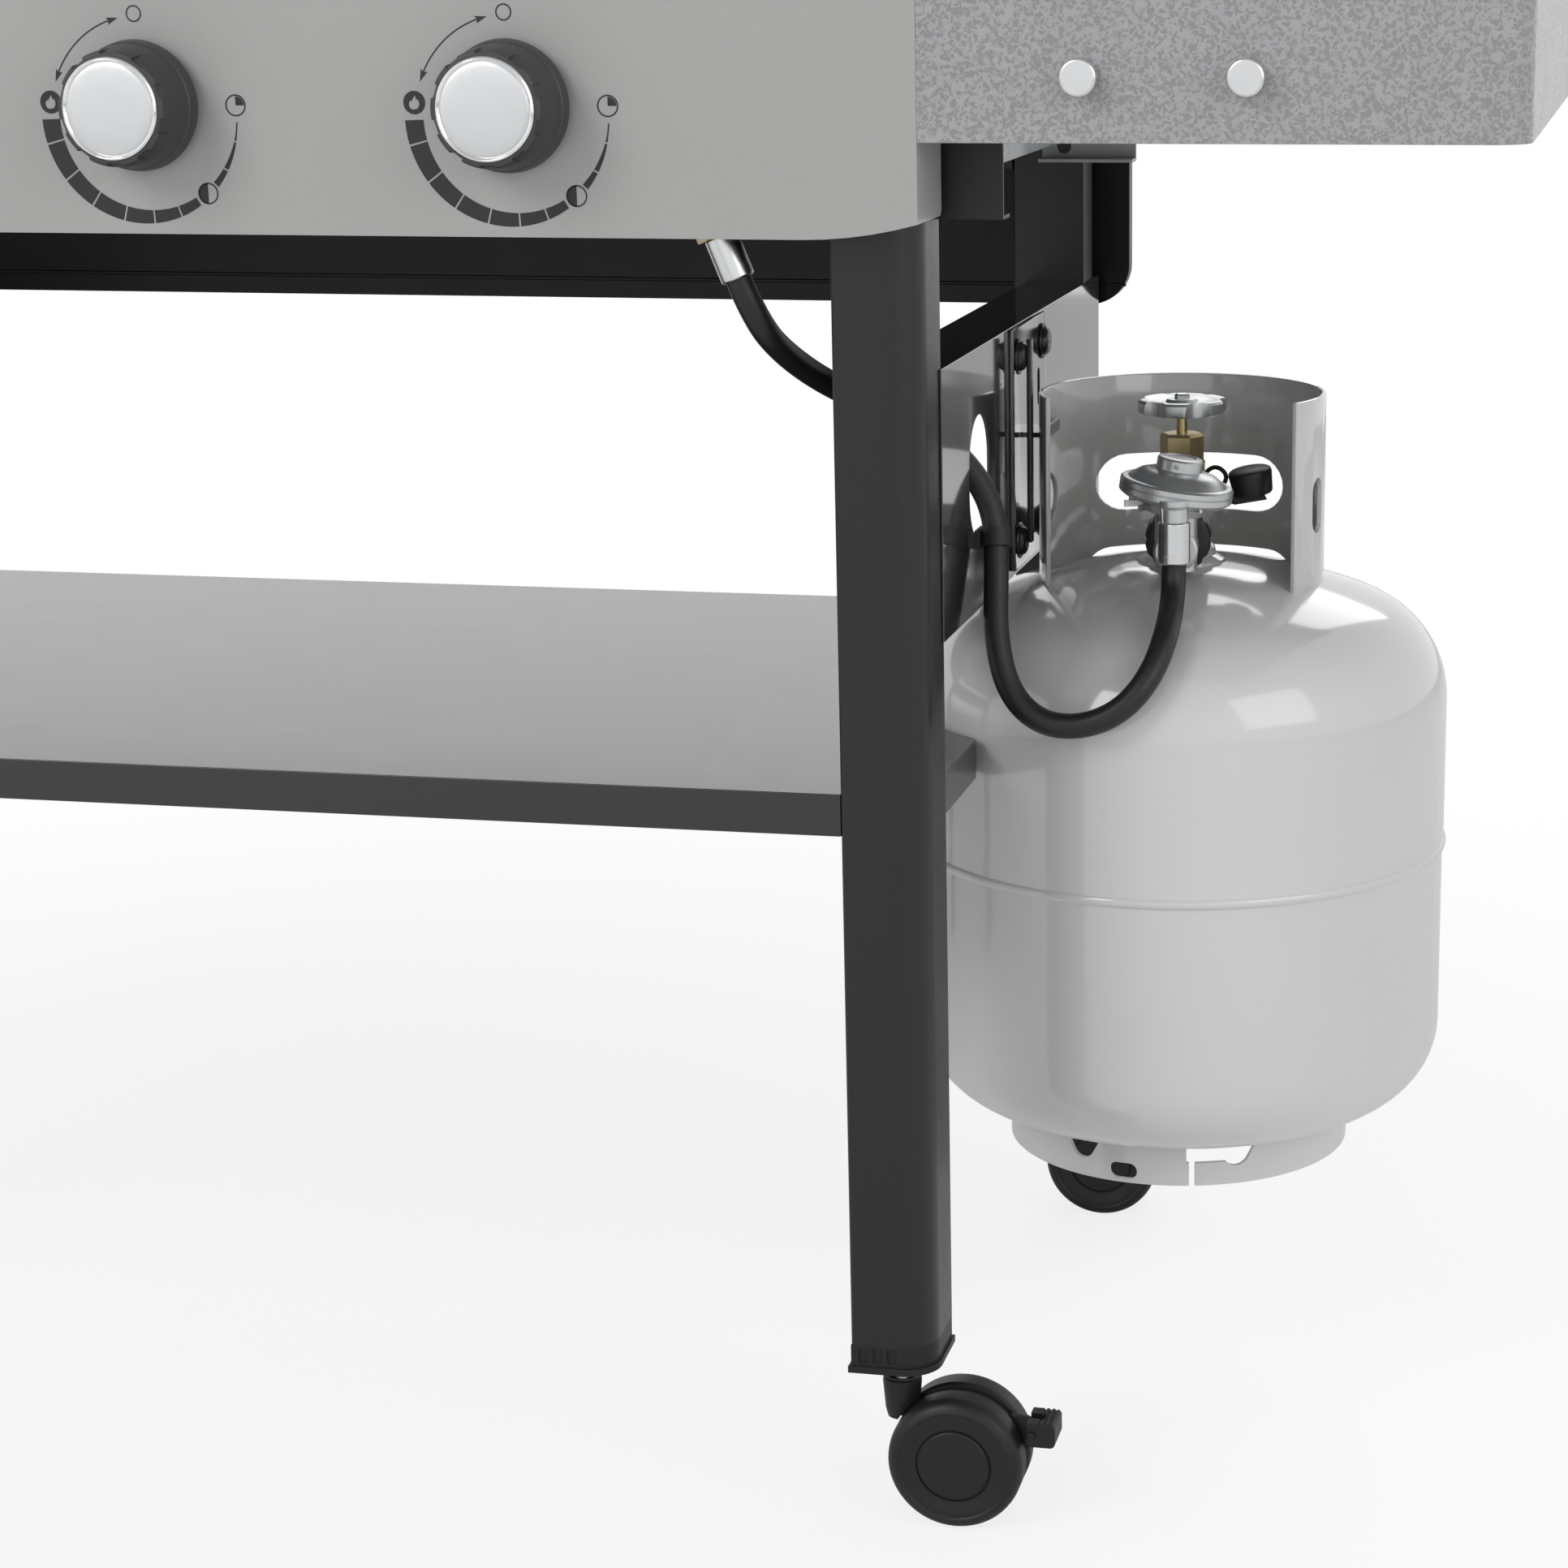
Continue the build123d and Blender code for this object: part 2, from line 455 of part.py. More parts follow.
def lid_profile(inset, x):
    """Side view of the lid: a leaning front, a flat top and an upright back."""
    y0, y1, top = lid_y0 + inset, lid_y1 - inset, lid_z + lid_height - inset
    with BuildSketch(Plane.YZ.offset(x)) as profile:
        with BuildLine():
            Polyline((y0, lid_z), (y0 + lid_front_lean, lid_z + lid_front_rise), (y0 + 150.0, top),
                     (y1 - 70.0, top), (y1, top - 60.0), (y1, lid_z), close=True)
        make_face()
        fillet([v for v in profile.vertices() if v.Y > lid_z + 10.0], 50.0)
    return profile.sketch


lid_edge_round = 12.0
with BuildPart() as lid_hollow:
    extrude(lid_profile(lid_wall, -lid_half + lid_wall), amount=2 * (lid_half - lid_wall))
    fillet(lid_hollow.faces().filter_by(Axis.X).edges().filter_by(lambda e: e.center().Z > lid_z + 5.0),
           lid_edge_round - lid_wall)

with BuildPart() as lid:
    extrude(lid_profile(0.0, -lid_half), amount=2 * lid_half)
    fillet(lid.faces().filter_by(Axis.X).edges().filter_by(lambda e: e.center().Z > lid_z + 5.0),
           lid_edge_round)
    add(lid_hollow.part, mode=Mode.SUBTRACT)
    for sx in (-1, 1):                              # knuckles that turn on the hinge pins
        x = sx * (side_x - hinge_inset)
        block(x - hinge_width / 2, x + hinge_width / 2, lid_y1, hinge_y, hinge_z - 5.0, hinge_z + 5.0)
        rod((x - hinge_width / 2, hinge_y, hinge_z), (x + hinge_width / 2, hinge_y, hinge_z), hinge_eye_r)
        rod((x - hinge_width, hinge_y, hinge_z), (x + hinge_width, hinge_y, hinge_z),
            hinge_pin_r + 0.05, Mode.SUBTRACT)
save(lid.part, "lid")

with BuildPart() as hinge_brackets:
    plate_y = box_y1 + rear_panel_hem
    for sx in (-1, 1):
        x = sx * (side_x - hinge_inset)
        reach = hinge_width / 2 + hinge_play + hinge_ear
        block(x - reach, x + reach, plate_y, plate_y + 3.0, rim_z - 60.0, rim_z - 2.0)
        for side in (-1, 1):
            x0, x1 = x + side * (hinge_width / 2 + hinge_play), x + side * reach
            block(x0, x1, plate_y + 1.0, hinge_y + hinge_eye_r, rim_z - 30.0, rim_z)
            block(x0, x1, hinge_y - hinge_eye_r, hinge_y + hinge_eye_r, rim_z, hinge_z)
            rod((x0, hinge_y, hinge_z), (x1, hinge_y, hinge_z), hinge_eye_r)
            rod((x0 - side, hinge_y, hinge_z), (x1 + side, hinge_y, hinge_z), hinge_pin_r, Mode.SUBTRACT)

with BuildPart() as hinge_pins:
    for sx in (-1, 1):
        x = sx * (side_x - hinge_inset)
        reach = hinge_width / 2 + hinge_play + hinge_ear
        rod((x - reach, hinge_y, hinge_z), (x + reach, hinge_y, hinge_z), hinge_pin_r)
        rod((x + reach, hinge_y, hinge_z), (x + reach + 2.5, hinge_y, hinge_z), hinge_pin_r + 2.0)
save(Compound(children=[hinge_brackets.part, hinge_pins.part]), "hinge_brackets")

handle_rise = 60.0
handle_wall_y = lid_y0 + lid_front_lean * handle_rise / lid_front_rise
handle_y, handle_z = handle_wall_y - handle_stand_off, lid_z + handle_rise
with BuildPart() as lid_handle:
    rod((-handle_half, handle_y, handle_z), (handle_half, handle_y, handle_z), handle_r)
    rod((-handle_half - 1.0, handle_y, handle_z), (handle_half + 1.0, handle_y, handle_z),
        handle_r - handle_wall, Mode.SUBTRACT)
save(lid_handle.part, "lid_handle")

lean = math.atan(lid_front_lean / lid_front_rise)
with BuildPart() as handle_posts:
    for sx in (-1, 1):
        x = sx * handle_half
        block(x, x + sx * 9.0, handle_y, handle_wall_y + 12.0, handle_z - handle_post / 2,
              handle_z + handle_post / 2)
        rod((x, handle_y, handle_z), (x + sx * 9.0, handle_y, handle_z), handle_r + 2.0)
    add(lid.part, mode=Mode.SUBTRACT)
    add(lid_hollow.part, mode=Mode.SUBTRACT)
save(handle_posts.part, "handle_posts")

gauge_rise = 92.0
gauge_plane = Plane(origin=(0, lid_y0 + lid_front_lean * gauge_rise / lid_front_rise, lid_z + gauge_rise),
                    x_dir=(1, 0, 0), z_dir=(0, -math.cos(lean), math.sin(lean)))
with BuildPart() as temperature_gauge:
    with BuildSketch(gauge_plane):
        Circle(gauge_r)
    extrude(amount=gauge_depth)
    with BuildSketch(gauge_plane.offset(gauge_depth - 5.0)):
        Circle(gauge_r - 4.0)
    extrude(amount=6.0, mode=Mode.SUBTRACT)
    with BuildSketch(gauge_plane.offset(gauge_depth - 6.0)):
        Circle(1.5)
    extrude(amount=4.5)
save(temperature_gauge.part, "temperature_gauge")

with BuildPart() as gauge_needle:
    with BuildSketch(gauge_plane.offset(gauge_depth - 4.2)):
        Circle(4.0)
        with BuildLine():
            Polyline((-2.0, -6.0), (2.0, -6.0), (0.6, needle_length), (-0.6, needle_length), close=True)
        make_face()
        Circle(1.55, mode=Mode.SUBTRACT)
    extrude(amount=1.2)
save(gauge_needle.part, "gauge_needle")

# ---- Gas bottle: welded shell, foot ring, collar and valve ---------------------------------------
dome_z0, dome_z1 = tank_ring_z + tank_cyl_bottom, tank_ring_z + tank_cyl_top


neck_z = dome_z1 + tank_dome_top


def head_arcs(z, radius, rise, knuckle, up):
    """Two tangent arcs of a dished end: a knuckle at the wall and a crown over the axis."""
    reach, over = radius - knuckle, rise - knuckle
    drop = (reach**2 - over**2) / (2 * over)        # crown's centre beyond the end's base
    turn = math.degrees(math.atan2(reach, drop))
    CenterArc((reach, z), knuckle, 0, up * (90 - turn))
    CenterArc((0, z - up * drop), drop + rise, up * (90 - turn), up * turn)


def tank_form(inset):
    """The bottle as a solid of revolution, less a wall's thickness."""
    r, z0, z1 = tank_r - inset, dome_z0, dome_z1
    with BuildPart() as form:
        with BuildSketch(Plane.XZ) as profile:
            with BuildLine() as outline:
                Line((0, z0 - tank_dome_bottom + inset), (0, z1 + tank_dome_top - inset))
                head_arcs(z1, r, tank_dome_top - inset, tank_knuckle_top - inset, 1)
                Line((r, z1), (r, z0))
                head_arcs(z0, r, tank_dome_bottom - inset, tank_knuckle_bottom - inset, -1)
            make_face(outline.edges())
        revolve(profile.sketch, axis=Axis.Z)
    return Pos(tank_x, tank_y, 0) * form.part


with BuildPart() as seam_bead:
    with BuildSketch(Plane.XZ) as bead:
        with Locations((tank_r, tank_ring_z + tank_seam)):
            Ellipse(seam_proud, seam_height / 2)
    revolve(bead.sketch, axis=Axis.Z)

tank_outside = tank_form(0.0)
with BuildPart() as gas_tank:
    add(tank_outside)
    add(Pos(tank_x, tank_y, 0) * seam_bead.part)
    add(tank_form(tank_wall), mode=Mode.SUBTRACT)
save(gas_tank.part, "gas_tank")

ring_top, window_floor, window_width, window_slope = 34.0, 14.0, 59.0, 60.0
window_angles, split_angle, split_width = (187, 245, 298, 356, 54, 120), 283.0, 3.5
window_dip_r, window_dip_rise = 8.0, 5.0
drain_slot_angle, drain_slot_length, drain_slot_height, drain_slot_z = 260.0, 17.0, 9.5, 7.2


def axis_plane(angle, z):
    """The plane through the bottle's axis whose normal points outwards at an angle, in degrees."""
    turn = math.radians(angle)
    return Plane((tank_x, tank_y, z), x_dir=(-math.sin(turn), math.cos(turn), 0),
                 z_dir=(math.cos(turn), math.sin(turn), 0))


with BuildPart() as foot_ring:
    base = (tank_x, tank_y, tank_ring_z)
    rod(base, (tank_x, tank_y, tank_ring_z + ring_top), foot_ring_r)
    rod(base, (tank_x, tank_y, tank_ring_z + ring_top), foot_ring_r - foot_ring_wall, Mode.SUBTRACT)
    add(tank_outside, mode=Mode.SUBTRACT)
    for angle in window_angles:
        near_split = 0 < angle - split_angle < 30       # this window opens straight into the split
        with BuildSketch(axis_plane(angle, tank_ring_z)) as window:
            with Locations((0, ring_top)):
                Trapezoid(window_width, 2 * (ring_top - window_floor), window_slope,
                          90 if near_split else window_slope, rotation=180)
            with Locations((0, window_floor + window_dip_rise)):
                Circle(window_dip_r)
        extrude(window.sketch, amount=foot_ring_r + 5.0, mode=Mode.SUBTRACT)
    with BuildSketch(axis_plane(split_angle, tank_ring_z)) as split:
        with Locations((0, ring_top / 2)):
            Rectangle(split_width, ring_top + 1.0)
    extrude(split.sketch, amount=foot_ring_r + 5.0, mode=Mode.SUBTRACT)
    with BuildSketch(axis_plane(drain_slot_angle, tank_ring_z)) as drain_slot:
        with Locations((0, drain_slot_z)):
            SlotOverall(drain_slot_length, drain_slot_height)
    extrude(drain_slot.sketch, amount=foot_ring_r + 5.0, mode=Mode.SUBTRACT)
save(foot_ring.part, "foot_ring")

collar_z0, collar_z1 = tank_ring_z + 330.0, tank_ring_z + collar_top
slot_z1 = bracket_centre_z + 5.0 + hook_sheet + 0.3
with BuildPart() as tank_collar:
    rod((tank_x, tank_y, collar_z0), (tank_x, tank_y, collar_z1), collar_r)
    rod((tank_x, tank_y, collar_z0), (tank_x, tank_y, collar_z1), collar_r - collar_wall, Mode.SUBTRACT)
    add(tank_outside, mode=Mode.SUBTRACT)
    reach = 2 * collar_r
    half = math.radians(collar_open / 2)
    mid = math.radians(-90.0 + outlet_angle)
    with BuildSketch(Plane.XY.offset(collar_z0 - 1.0)) as mouth:
        with BuildLine():
            spread = [(mid - half, reach), (mid, 1.3 * reach), (mid + half, reach)]
            Polyline((tank_x, tank_y), *[(tank_x + far * math.cos(turn), tank_y + far * math.sin(turn))
                                         for turn, far in spread], close=True)
        make_face()
    extrude(mouth.sketch, amount=collar_z1 - collar_z0 + 2.0, mode=Mode.SUBTRACT)
    for angle, low, high, width in ((68.0, 38.0, 72.0, 100.0), (78.0, -8.0, 14.0, 66.0)):
        side = axis_plane(angle, collar_z0)             # a hand hole and a drain gap
        with BuildSketch(side) as hole:
            with Locations((0, (low + high) / 2)):
                SlotOverall(width, high - low)
        extrude(hole.sketch, amount=collar_r + 5.0, mode=Mode.SUBTRACT)
    block(tank_x - collar_r - 5.0, tank_x - collar_r + 12.0, tank_y - hook_slot_width / 2,
          tank_y + hook_slot_width / 2, slot_z1 - hook_slot_height, slot_z1, Mode.SUBTRACT)
    end = mid + half
    with Locations((tank_x + collar_r * math.cos(end), tank_y + collar_r * math.sin(end), collar_z1 - 48.0)):
        Cylinder(22.0, 60.0, rotation=(90, 0, math.degrees(end) + 90), mode=Mode.SUBTRACT)
save(tank_collar.part, "tank_collar")

outlet_dir = Vector(math.sin(math.radians(outlet_angle)), -math.cos(math.radians(outlet_angle)), 0)


def outlet_point(distance, height):
    """A point in front of the bottle's valve, at a distance from its axis and a height above its foot."""
    return (tank_x + outlet_dir.X * distance, tank_y + outlet_dir.Y * distance, tank_ring_z + height)


with BuildPart() as tank_valve:
    rod((tank_x, tank_y, neck_z - neck_sink), (tank_x, tank_y, neck_z + neck_height), neck_r)
    add(tank_outside, mode=Mode.SUBTRACT)
    nut_z0, nut_z1 = tank_ring_z + valve_top - 22.0, tank_ring_z + valve_top - 4.0
    rod((tank_x, tank_y, neck_z + neck_height), (tank_x, tank_y, nut_z0), valve_r)
    rod((tank_x, tank_y, nut_z0), (tank_x, tank_y, nut_z1), valve_r - 3.0)
    rod((tank_x, tank_y, nut_z1), (tank_x, tank_y, tank_ring_z + handwheel_z + 9.0), 3.0)
    rod(outlet_point(0.0, outlet_z), outlet_point(nut_start, outlet_z), 11.0)
    rod(outlet_point(nut_start, outlet_z), outlet_point(nut_start + nut_length, outlet_z), 8.0)
save(tank_valve.part, "tank_valve")

with BuildPart() as valve_handwheel:
    low = tank_ring_z + handwheel_z
    with BuildSketch(Plane.XY.offset(low)) as star:
        with Locations((tank_x, tank_y)):
            Circle(handwheel_r)
            with PolarLocations(handwheel_r + 3.0, handwheel_lobes):
                Circle(6.5, mode=Mode.SUBTRACT)
    extrude(star.sketch, amount=7.0)
    with BuildSketch(Plane.XY.offset(low + 3.0)) as dish:
        with Locations((tank_x, tank_y)):
            Circle(handwheel_r - 6.0)
            Circle(8.0, mode=Mode.SUBTRACT)
    extrude(dish.sketch, amount=5.0, mode=Mode.SUBTRACT)
    rod((tank_x, tank_y, low - 3.0), (tank_x, tank_y, low), 8.0)
    rod((tank_x, tank_y, low - 4.0), (tank_x, tank_y, low + 12.0), 3.05, Mode.SUBTRACT)
save(valve_handwheel.part, "valve_handwheel")

with BuildPart() as coupling_nut:
    start = Plane(outlet_point(nut_start + 0.5, outlet_z), z_dir=outlet_dir)
    with BuildSketch(start) as nut:
        Circle(nut_r)
        with PolarLocations(nut_r + 1.5, 10):
            Circle(3.0, mode=Mode.SUBTRACT)
    extrude(nut.sketch, amount=nut_length - 1.0)
    with BuildSketch(start) as bore:
        Circle(8.05)
    extrude(bore.sketch, amount=nut_length, mode=Mode.SUBTRACT)
save(coupling_nut.part, "coupling_nut")

with BuildPart() as regulator:
    x, y, z = outlet_point(regulator_reach, regulator_z)
    rim, low = regulator_thickness / 2 - 2.0, regulator_thickness / 2 + 8.0
    with BuildSketch(Plane(origin=(x, y, z), x_dir=(1, 0, 0), z_dir=(0, -1, 0))) as half_section:
        with BuildLine():
            Polyline((0, -low), (17.0, -low), (22.0, -rim - 5.0), (regulator_r, -rim), (regulator_r, rim),
                     (22.0, rim + 5.0), (13.0, rim + 7.0), (13.0, low + 4.0), (0, low + 4.0), close=True)
        make_face()
    revolve(half_section.sketch, axis=Axis((x, y, 0), (0, 0, 1)))
    rod((x, y, tank_ring_z + outlet_z - 12.0), (x, y, z), 12.0)
    rod(outlet_point(nut_start + nut_length, outlet_z), outlet_point(regulator_reach, outlet_z), 11.0)
    port = outlet_point(regulator_reach + regulator_port, regulator_z - low)
    rod(port, (port[0], port[1], z - rim), 8.0)
    rod((x + 7.0, y, z + low), (x + 7.0, y, z + low + 20.0), 1.8, Mode.SUBTRACT)
save(regulator.part, "regulator")
regulator_port_end = Vector(*port)

# ---- Hook plate that carries the bottle, and its screws ------------------------------------------
hook_x = side_x + sheet
hook_y, hook_z = tank_y + 9.0, bracket_centre_z
with BuildPart() as tank_bracket:
    block(hook_x, hook_x + hook_sheet, hook_y - bracket_plate_y / 2, hook_y + bracket_plate_y / 2,
          hook_z - bracket_plate_z / 2, hook_z + bracket_plate_z / 2)
    with BuildSketch(Plane.YZ.offset(hook_x - 1.0)) as window:
        with Locations((hook_y + bracket_plate_y / 2 - 22.0, hook_z + 28.0)):
            SlotOverall(22.0, 7.0, rotation=90)
    extrude(window.sketch, amount=hook_sheet + 2.0, mode=Mode.SUBTRACT)
    tongue_z = slot_z1 - 0.3
    block(hook_x + hook_sheet, tank_x - collar_r + 8.0, tank_y - hook_width / 2, tank_y + hook_width / 2,
          tongue_z - hook_sheet, tongue_z)
    block(tank_x - collar_r + 5.0, tank_x - collar_r + 8.0, tank_y - hook_width / 2, tank_y + hook_width / 2,
          tongue_z, tongue_z + hook_lip)
    for side in (-1, 1):                            # stiffening flanges either side of the hook
        y = hook_y + side * bracket_plate_y / 2
        block(hook_x + hook_sheet, hook_x + hook_sheet + 6.0, y, y - side * 2.5,
              hook_z - bracket_plate_z / 2, hook_z + bracket_plate_z / 2)

with BuildPart() as bracket_screws:
    for sy in (-1, 1):
        for sz in (-1, 1):
            y, z = hook_y + sy * bolt_pitch_y / 2, hook_z + sz * bolt_pitch_z / 2
            rod((hook_x + hook_sheet, y, z), (hook_x + hook_sheet + bolt_head_h, y, z), bolt_head_r)
    fillet(bracket_screws.edges().filter_by(GeomType.CIRCLE).group_by(Axis.X)[-1], 3.5)
save(Compound(children=[tank_bracket.part, bracket_screws.part]), "tank_bracket")

# ---- Hose from the manifold to the regulator -----------------------------------------------------
inlet_tilt = math.radians(22.0)
inlet_dir = Vector(math.sin(inlet_tilt), 0, -math.cos(inlet_tilt))
inlet_top = Vector(inlet_x, manifold_axis_y, manifold_z)
inlet_tip = inlet_top + inlet_dir * (elbow_drop + 14.0)
with BuildPart() as gas_inlet:
    rod((inlet_x - elbow_r, manifold_axis_y, manifold_z), (inlet_x + elbow_r, manifold_axis_y, manifold_z),
        elbow_r)
    rod(tuple(inlet_top), tuple(inlet_tip), elbow_r - 1.0)
    with BuildSketch(Plane(inlet_top + inlet_dir * elbow_drop, z_dir=inlet_dir)) as hexagon:
        RegularPolygon(elbow_r + 2.0, 6)
    extrude(hexagon.sketch, amount=14.0)
save(gas_inlet.part, "gas_inlet")

inlet_end = inlet_tip + inlet_dir * ferrule_length
hose_end = regulator_port_end - Vector(0, 0, ferrule_length)
for name, top, bottom in (("ferrule_manifold", inlet_tip, inlet_end),
                          ("ferrule_regulator", regulator_port_end, hose_end)):
    with BuildPart() as ferrule:
        rod(tuple(top), tuple(bottom), ferrule_r)
        chamfer(ferrule.edges().filter_by(GeomType.CIRCLE), 1.0)
    save(ferrule.part, name)

leg_x, leg_y = side_x, front_y
hose_route = [
    tuple(inlet_end),
    tuple(inlet_end + inlet_dir * 24),
    (leg_x - 80, leg_y + 44, 642),
    (leg_x - 62, leg_y + 74, 622),
    (leg_x - 36, leg_y + 108, 604),
    (leg_x - 8, leg_y + 131, 580),
    (leg_x + 10, leg_y + 139, 550),
    (leg_x + 13, leg_y + 129, 516),
    (leg_x + 15, leg_y + 113, 483),
    (leg_x + 24, leg_y + 102, 454),
    (leg_x + 42, leg_y + 97, 438),
    (leg_x + 65, leg_y + 97, 436),
    (leg_x + 87, leg_y + 100, 445),
    (leg_x + 102, leg_y + 110, 463),
    (leg_x + 108, leg_y + 130, 484),
    tuple(hose_end - Vector(0, 0, 17)),
    tuple(hose_end),
]


def route_radii(points, share=0.45):
    """The radius at each corner: a share of the shorter run over the tangent of half the turn."""
    radii = []
    for before, here, after in zip(points, points[1:], points[2:]):
        run_in, run_out = Vector(*here) - Vector(*before), Vector(*after) - Vector(*here)
        half_turn = math.radians(run_in.get_angle(run_out)) / 2
        radii.append(share * min(run_in.length, run_out.length) / math.tan(half_turn))
    return radii


with BuildPart() as hose:
    with BuildLine() as hose_line:
        FilletPolyline(*hose_route, radius=route_radii(hose_route))
    with BuildSketch(Plane(origin=hose_route[0], z_dir=hose_line.line % 0)):
        Circle(hose_r)
    sweep(path=hose_line.line)
save(hose.part, "hose")

clip_from, clip_to = Vector(*hose_route[6]), Vector(*hose_route[7])
clip_dir = (clip_to - clip_from).normalized()
clip_mid = (clip_from + clip_to) * 0.5
with BuildPart() as hose_clip:
    with BuildSketch(Plane(origin=clip_mid - clip_dir * 5, z_dir=clip_dir)) as ring:
        Circle(hose_r + 2.8)
    extrude(ring.sketch, amount=10.0)
    block(leg_x + sheet, clip_mid.X - hose_r, clip_mid.Y - 9.0, clip_mid.Y + 9.0, clip_mid.Z - 5.0,
          clip_mid.Z + 5.0)
    with BuildSketch(Plane(origin=clip_mid - clip_dir * 8, z_dir=clip_dir)) as bore:
        Circle(hose_r + 0.3)
    extrude(bore.sketch, amount=16.0, mode=Mode.SUBTRACT)
save(hose_clip.part, "hose_clip")

# ---- Casters: stem in the leg plug, twin wheels behind it, a brake tab on the front pair ---------
caster_wheel_r = wheel_diameter / 2
socket_z = leg_foot_z - cap_height - 5.0
half_gap = wheel_gap / 2
for corner, (sx, sy) in corners.items():
    x, y = leg_centre(sx, sy)
    wx, wz = x + caster_trail, caster_wheel_r              # axle
    tx, tz = wx + caster_wheel_r + 4.0, wz + tab_rise      # brake pivot
    with BuildPart() as swivel:
        rod((x, y, socket_z - 2.0), (x, y, leg_foot_z - 3.0), caster_stem_r)
        rod((x, y, socket_z - socket_height), (x, y, socket_z), socket_r)
        rod((wx, y - half_gap + 0.5, wz), (wx, y + half_gap - 0.5, wz), hub_r)
        with BuildSketch(Plane.XZ.offset(-y - half_gap + 0.5)) as web:
            with BuildLine():
                Polyline((x - socket_r, socket_z - 4.0), (x - socket_r, socket_z - socket_height),
                         (wx - 12.0, wz - 8.0), (wx + 12.0, wz - 6.0), (tx + 2.0, wz + 12.0),
                         (tx + 2.0, wz + 22.0), (wx + 18.0, wz + 24.0), (wx, wz + 34.0),
                         (x + socket_r, socket_z - 4.0), close=True)
            make_face()
        extrude(web.sketch, amount=wheel_gap - 1.0)
        for side in (-1, 1):                        # clear the wheels' rims from the socket
            rod((wx, y + side * (half_gap - 0.4), wz), (wx, y + side * (half_gap + wheel_width + 1.0), wz),
                caster_wheel_r + 1.2, Mode.SUBTRACT)
        rod((wx, y - wheel_gap, wz), (wx, y + wheel_gap, wz), axle_r + caster_play, Mode.SUBTRACT)
        if sy < 0:
            rod((tx, y - 12.0, tz), (tx, y + 12.0, tz), tab_r)
    save(swivel.part, f"caster_{corner}")

    with BuildPart() as wheels:
        rod((wx, y - half_gap - 2.0, wz), (wx, y + half_gap + 2.0, wz), axle_r)
        for side in (-1, 1):
            rod((wx, y + side * half_gap, wz), (wx, y + side * (half_gap + wheel_width), wz), caster_wheel_r)
        circles = wheels.edges().filter_by(GeomType.CIRCLE)
        rims = circles.filter_by(lambda e: abs(e.radius - caster_wheel_r) < 0.1)
        fillet([e for e in rims if abs(e.center().Y - y) > wheel_gap], tread_round)
        for side in (-1, 1):
            outer = y + side * (half_gap + wheel_width)
            with BuildSketch(Plane(origin=(wx, outer, wz), z_dir=(0, -side, 0))) as groove:
                Circle(30.5)
                Circle(29.5, mode=Mode.SUBTRACT)
                Circle(21.0)
                Circle(19.8, mode=Mode.SUBTRACT)
            extrude(groove.sketch, amount=1.0, mode=Mode.SUBTRACT)
    save(wheels.part, f"wheels_{corner}")

    if sy < 0:
        with BuildPart() as tab:
            block(tx - 3.0, tx + 13.0, y - 11.0, y + 11.0, tz - 7.0, tz + 7.0)
            fillet(tab.edges().filter_by(Axis.Y).group_by(Axis.X)[-1], 3.0)
            block(tx - 4.0, tx + 6.0, y - half_gap, y + half_gap, tz - 9.0, tz + 9.0, Mode.SUBTRACT)
            rod((tx, y - 12.5, tz), (tx, y + 12.5, tz), tab_r + caster_play, Mode.SUBTRACT)
            for i in range(3):                      # grip ribs
                rib_x = tx + 3.5 + 3.0 * i
                block(rib_x, rib_x + 1.2, y - 11.5, y + 11.5, tz + 6.2, tz + 7.5, Mode.SUBTRACT)
        save(tab.part, f"brake_tab_{corner.split('_')[1]}")
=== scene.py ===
"""A gas barbecue grill on a wheeled cart, dressed over its CAD frame in metres, +Z up."""

import json
import logging
import math
from dataclasses import dataclass
from enum import Enum
from typing import Callable, Optional, Sequence, Union

import bmesh
import bpy
from mathutils import Matrix, Vector

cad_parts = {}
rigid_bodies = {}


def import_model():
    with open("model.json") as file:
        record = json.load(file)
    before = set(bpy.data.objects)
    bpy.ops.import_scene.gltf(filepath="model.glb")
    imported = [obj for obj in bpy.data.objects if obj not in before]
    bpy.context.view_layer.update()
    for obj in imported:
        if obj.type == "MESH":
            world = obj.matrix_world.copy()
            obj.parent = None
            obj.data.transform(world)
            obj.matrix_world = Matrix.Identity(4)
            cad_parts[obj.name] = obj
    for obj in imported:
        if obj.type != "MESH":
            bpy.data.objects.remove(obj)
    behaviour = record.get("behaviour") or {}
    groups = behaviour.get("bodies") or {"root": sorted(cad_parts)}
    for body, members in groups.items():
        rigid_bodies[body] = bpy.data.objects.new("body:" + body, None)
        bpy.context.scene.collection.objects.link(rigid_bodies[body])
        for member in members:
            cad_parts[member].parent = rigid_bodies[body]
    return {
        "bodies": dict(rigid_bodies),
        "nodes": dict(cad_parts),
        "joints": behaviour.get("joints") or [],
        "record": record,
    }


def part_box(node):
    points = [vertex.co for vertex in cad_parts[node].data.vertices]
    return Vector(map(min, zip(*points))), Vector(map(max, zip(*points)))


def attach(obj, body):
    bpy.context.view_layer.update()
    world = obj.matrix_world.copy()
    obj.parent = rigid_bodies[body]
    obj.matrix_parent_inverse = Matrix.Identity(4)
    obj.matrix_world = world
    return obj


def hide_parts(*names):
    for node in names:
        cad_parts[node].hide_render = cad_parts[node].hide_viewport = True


LOG = logging.getLogger("grill")
MM = 0.001
DOUBLES = 0.01 * MM
Point = tuple[float, float, float]
UP: Point = (0.0, 0.0, 1.0)
TO_FRONT: Point = (0.0, -1.0, 0.0)
Colour = tuple[float, float, float]
Number = Union[float, "Value"]


# ---- Shader arithmetic -----------------------------------------------------------------------


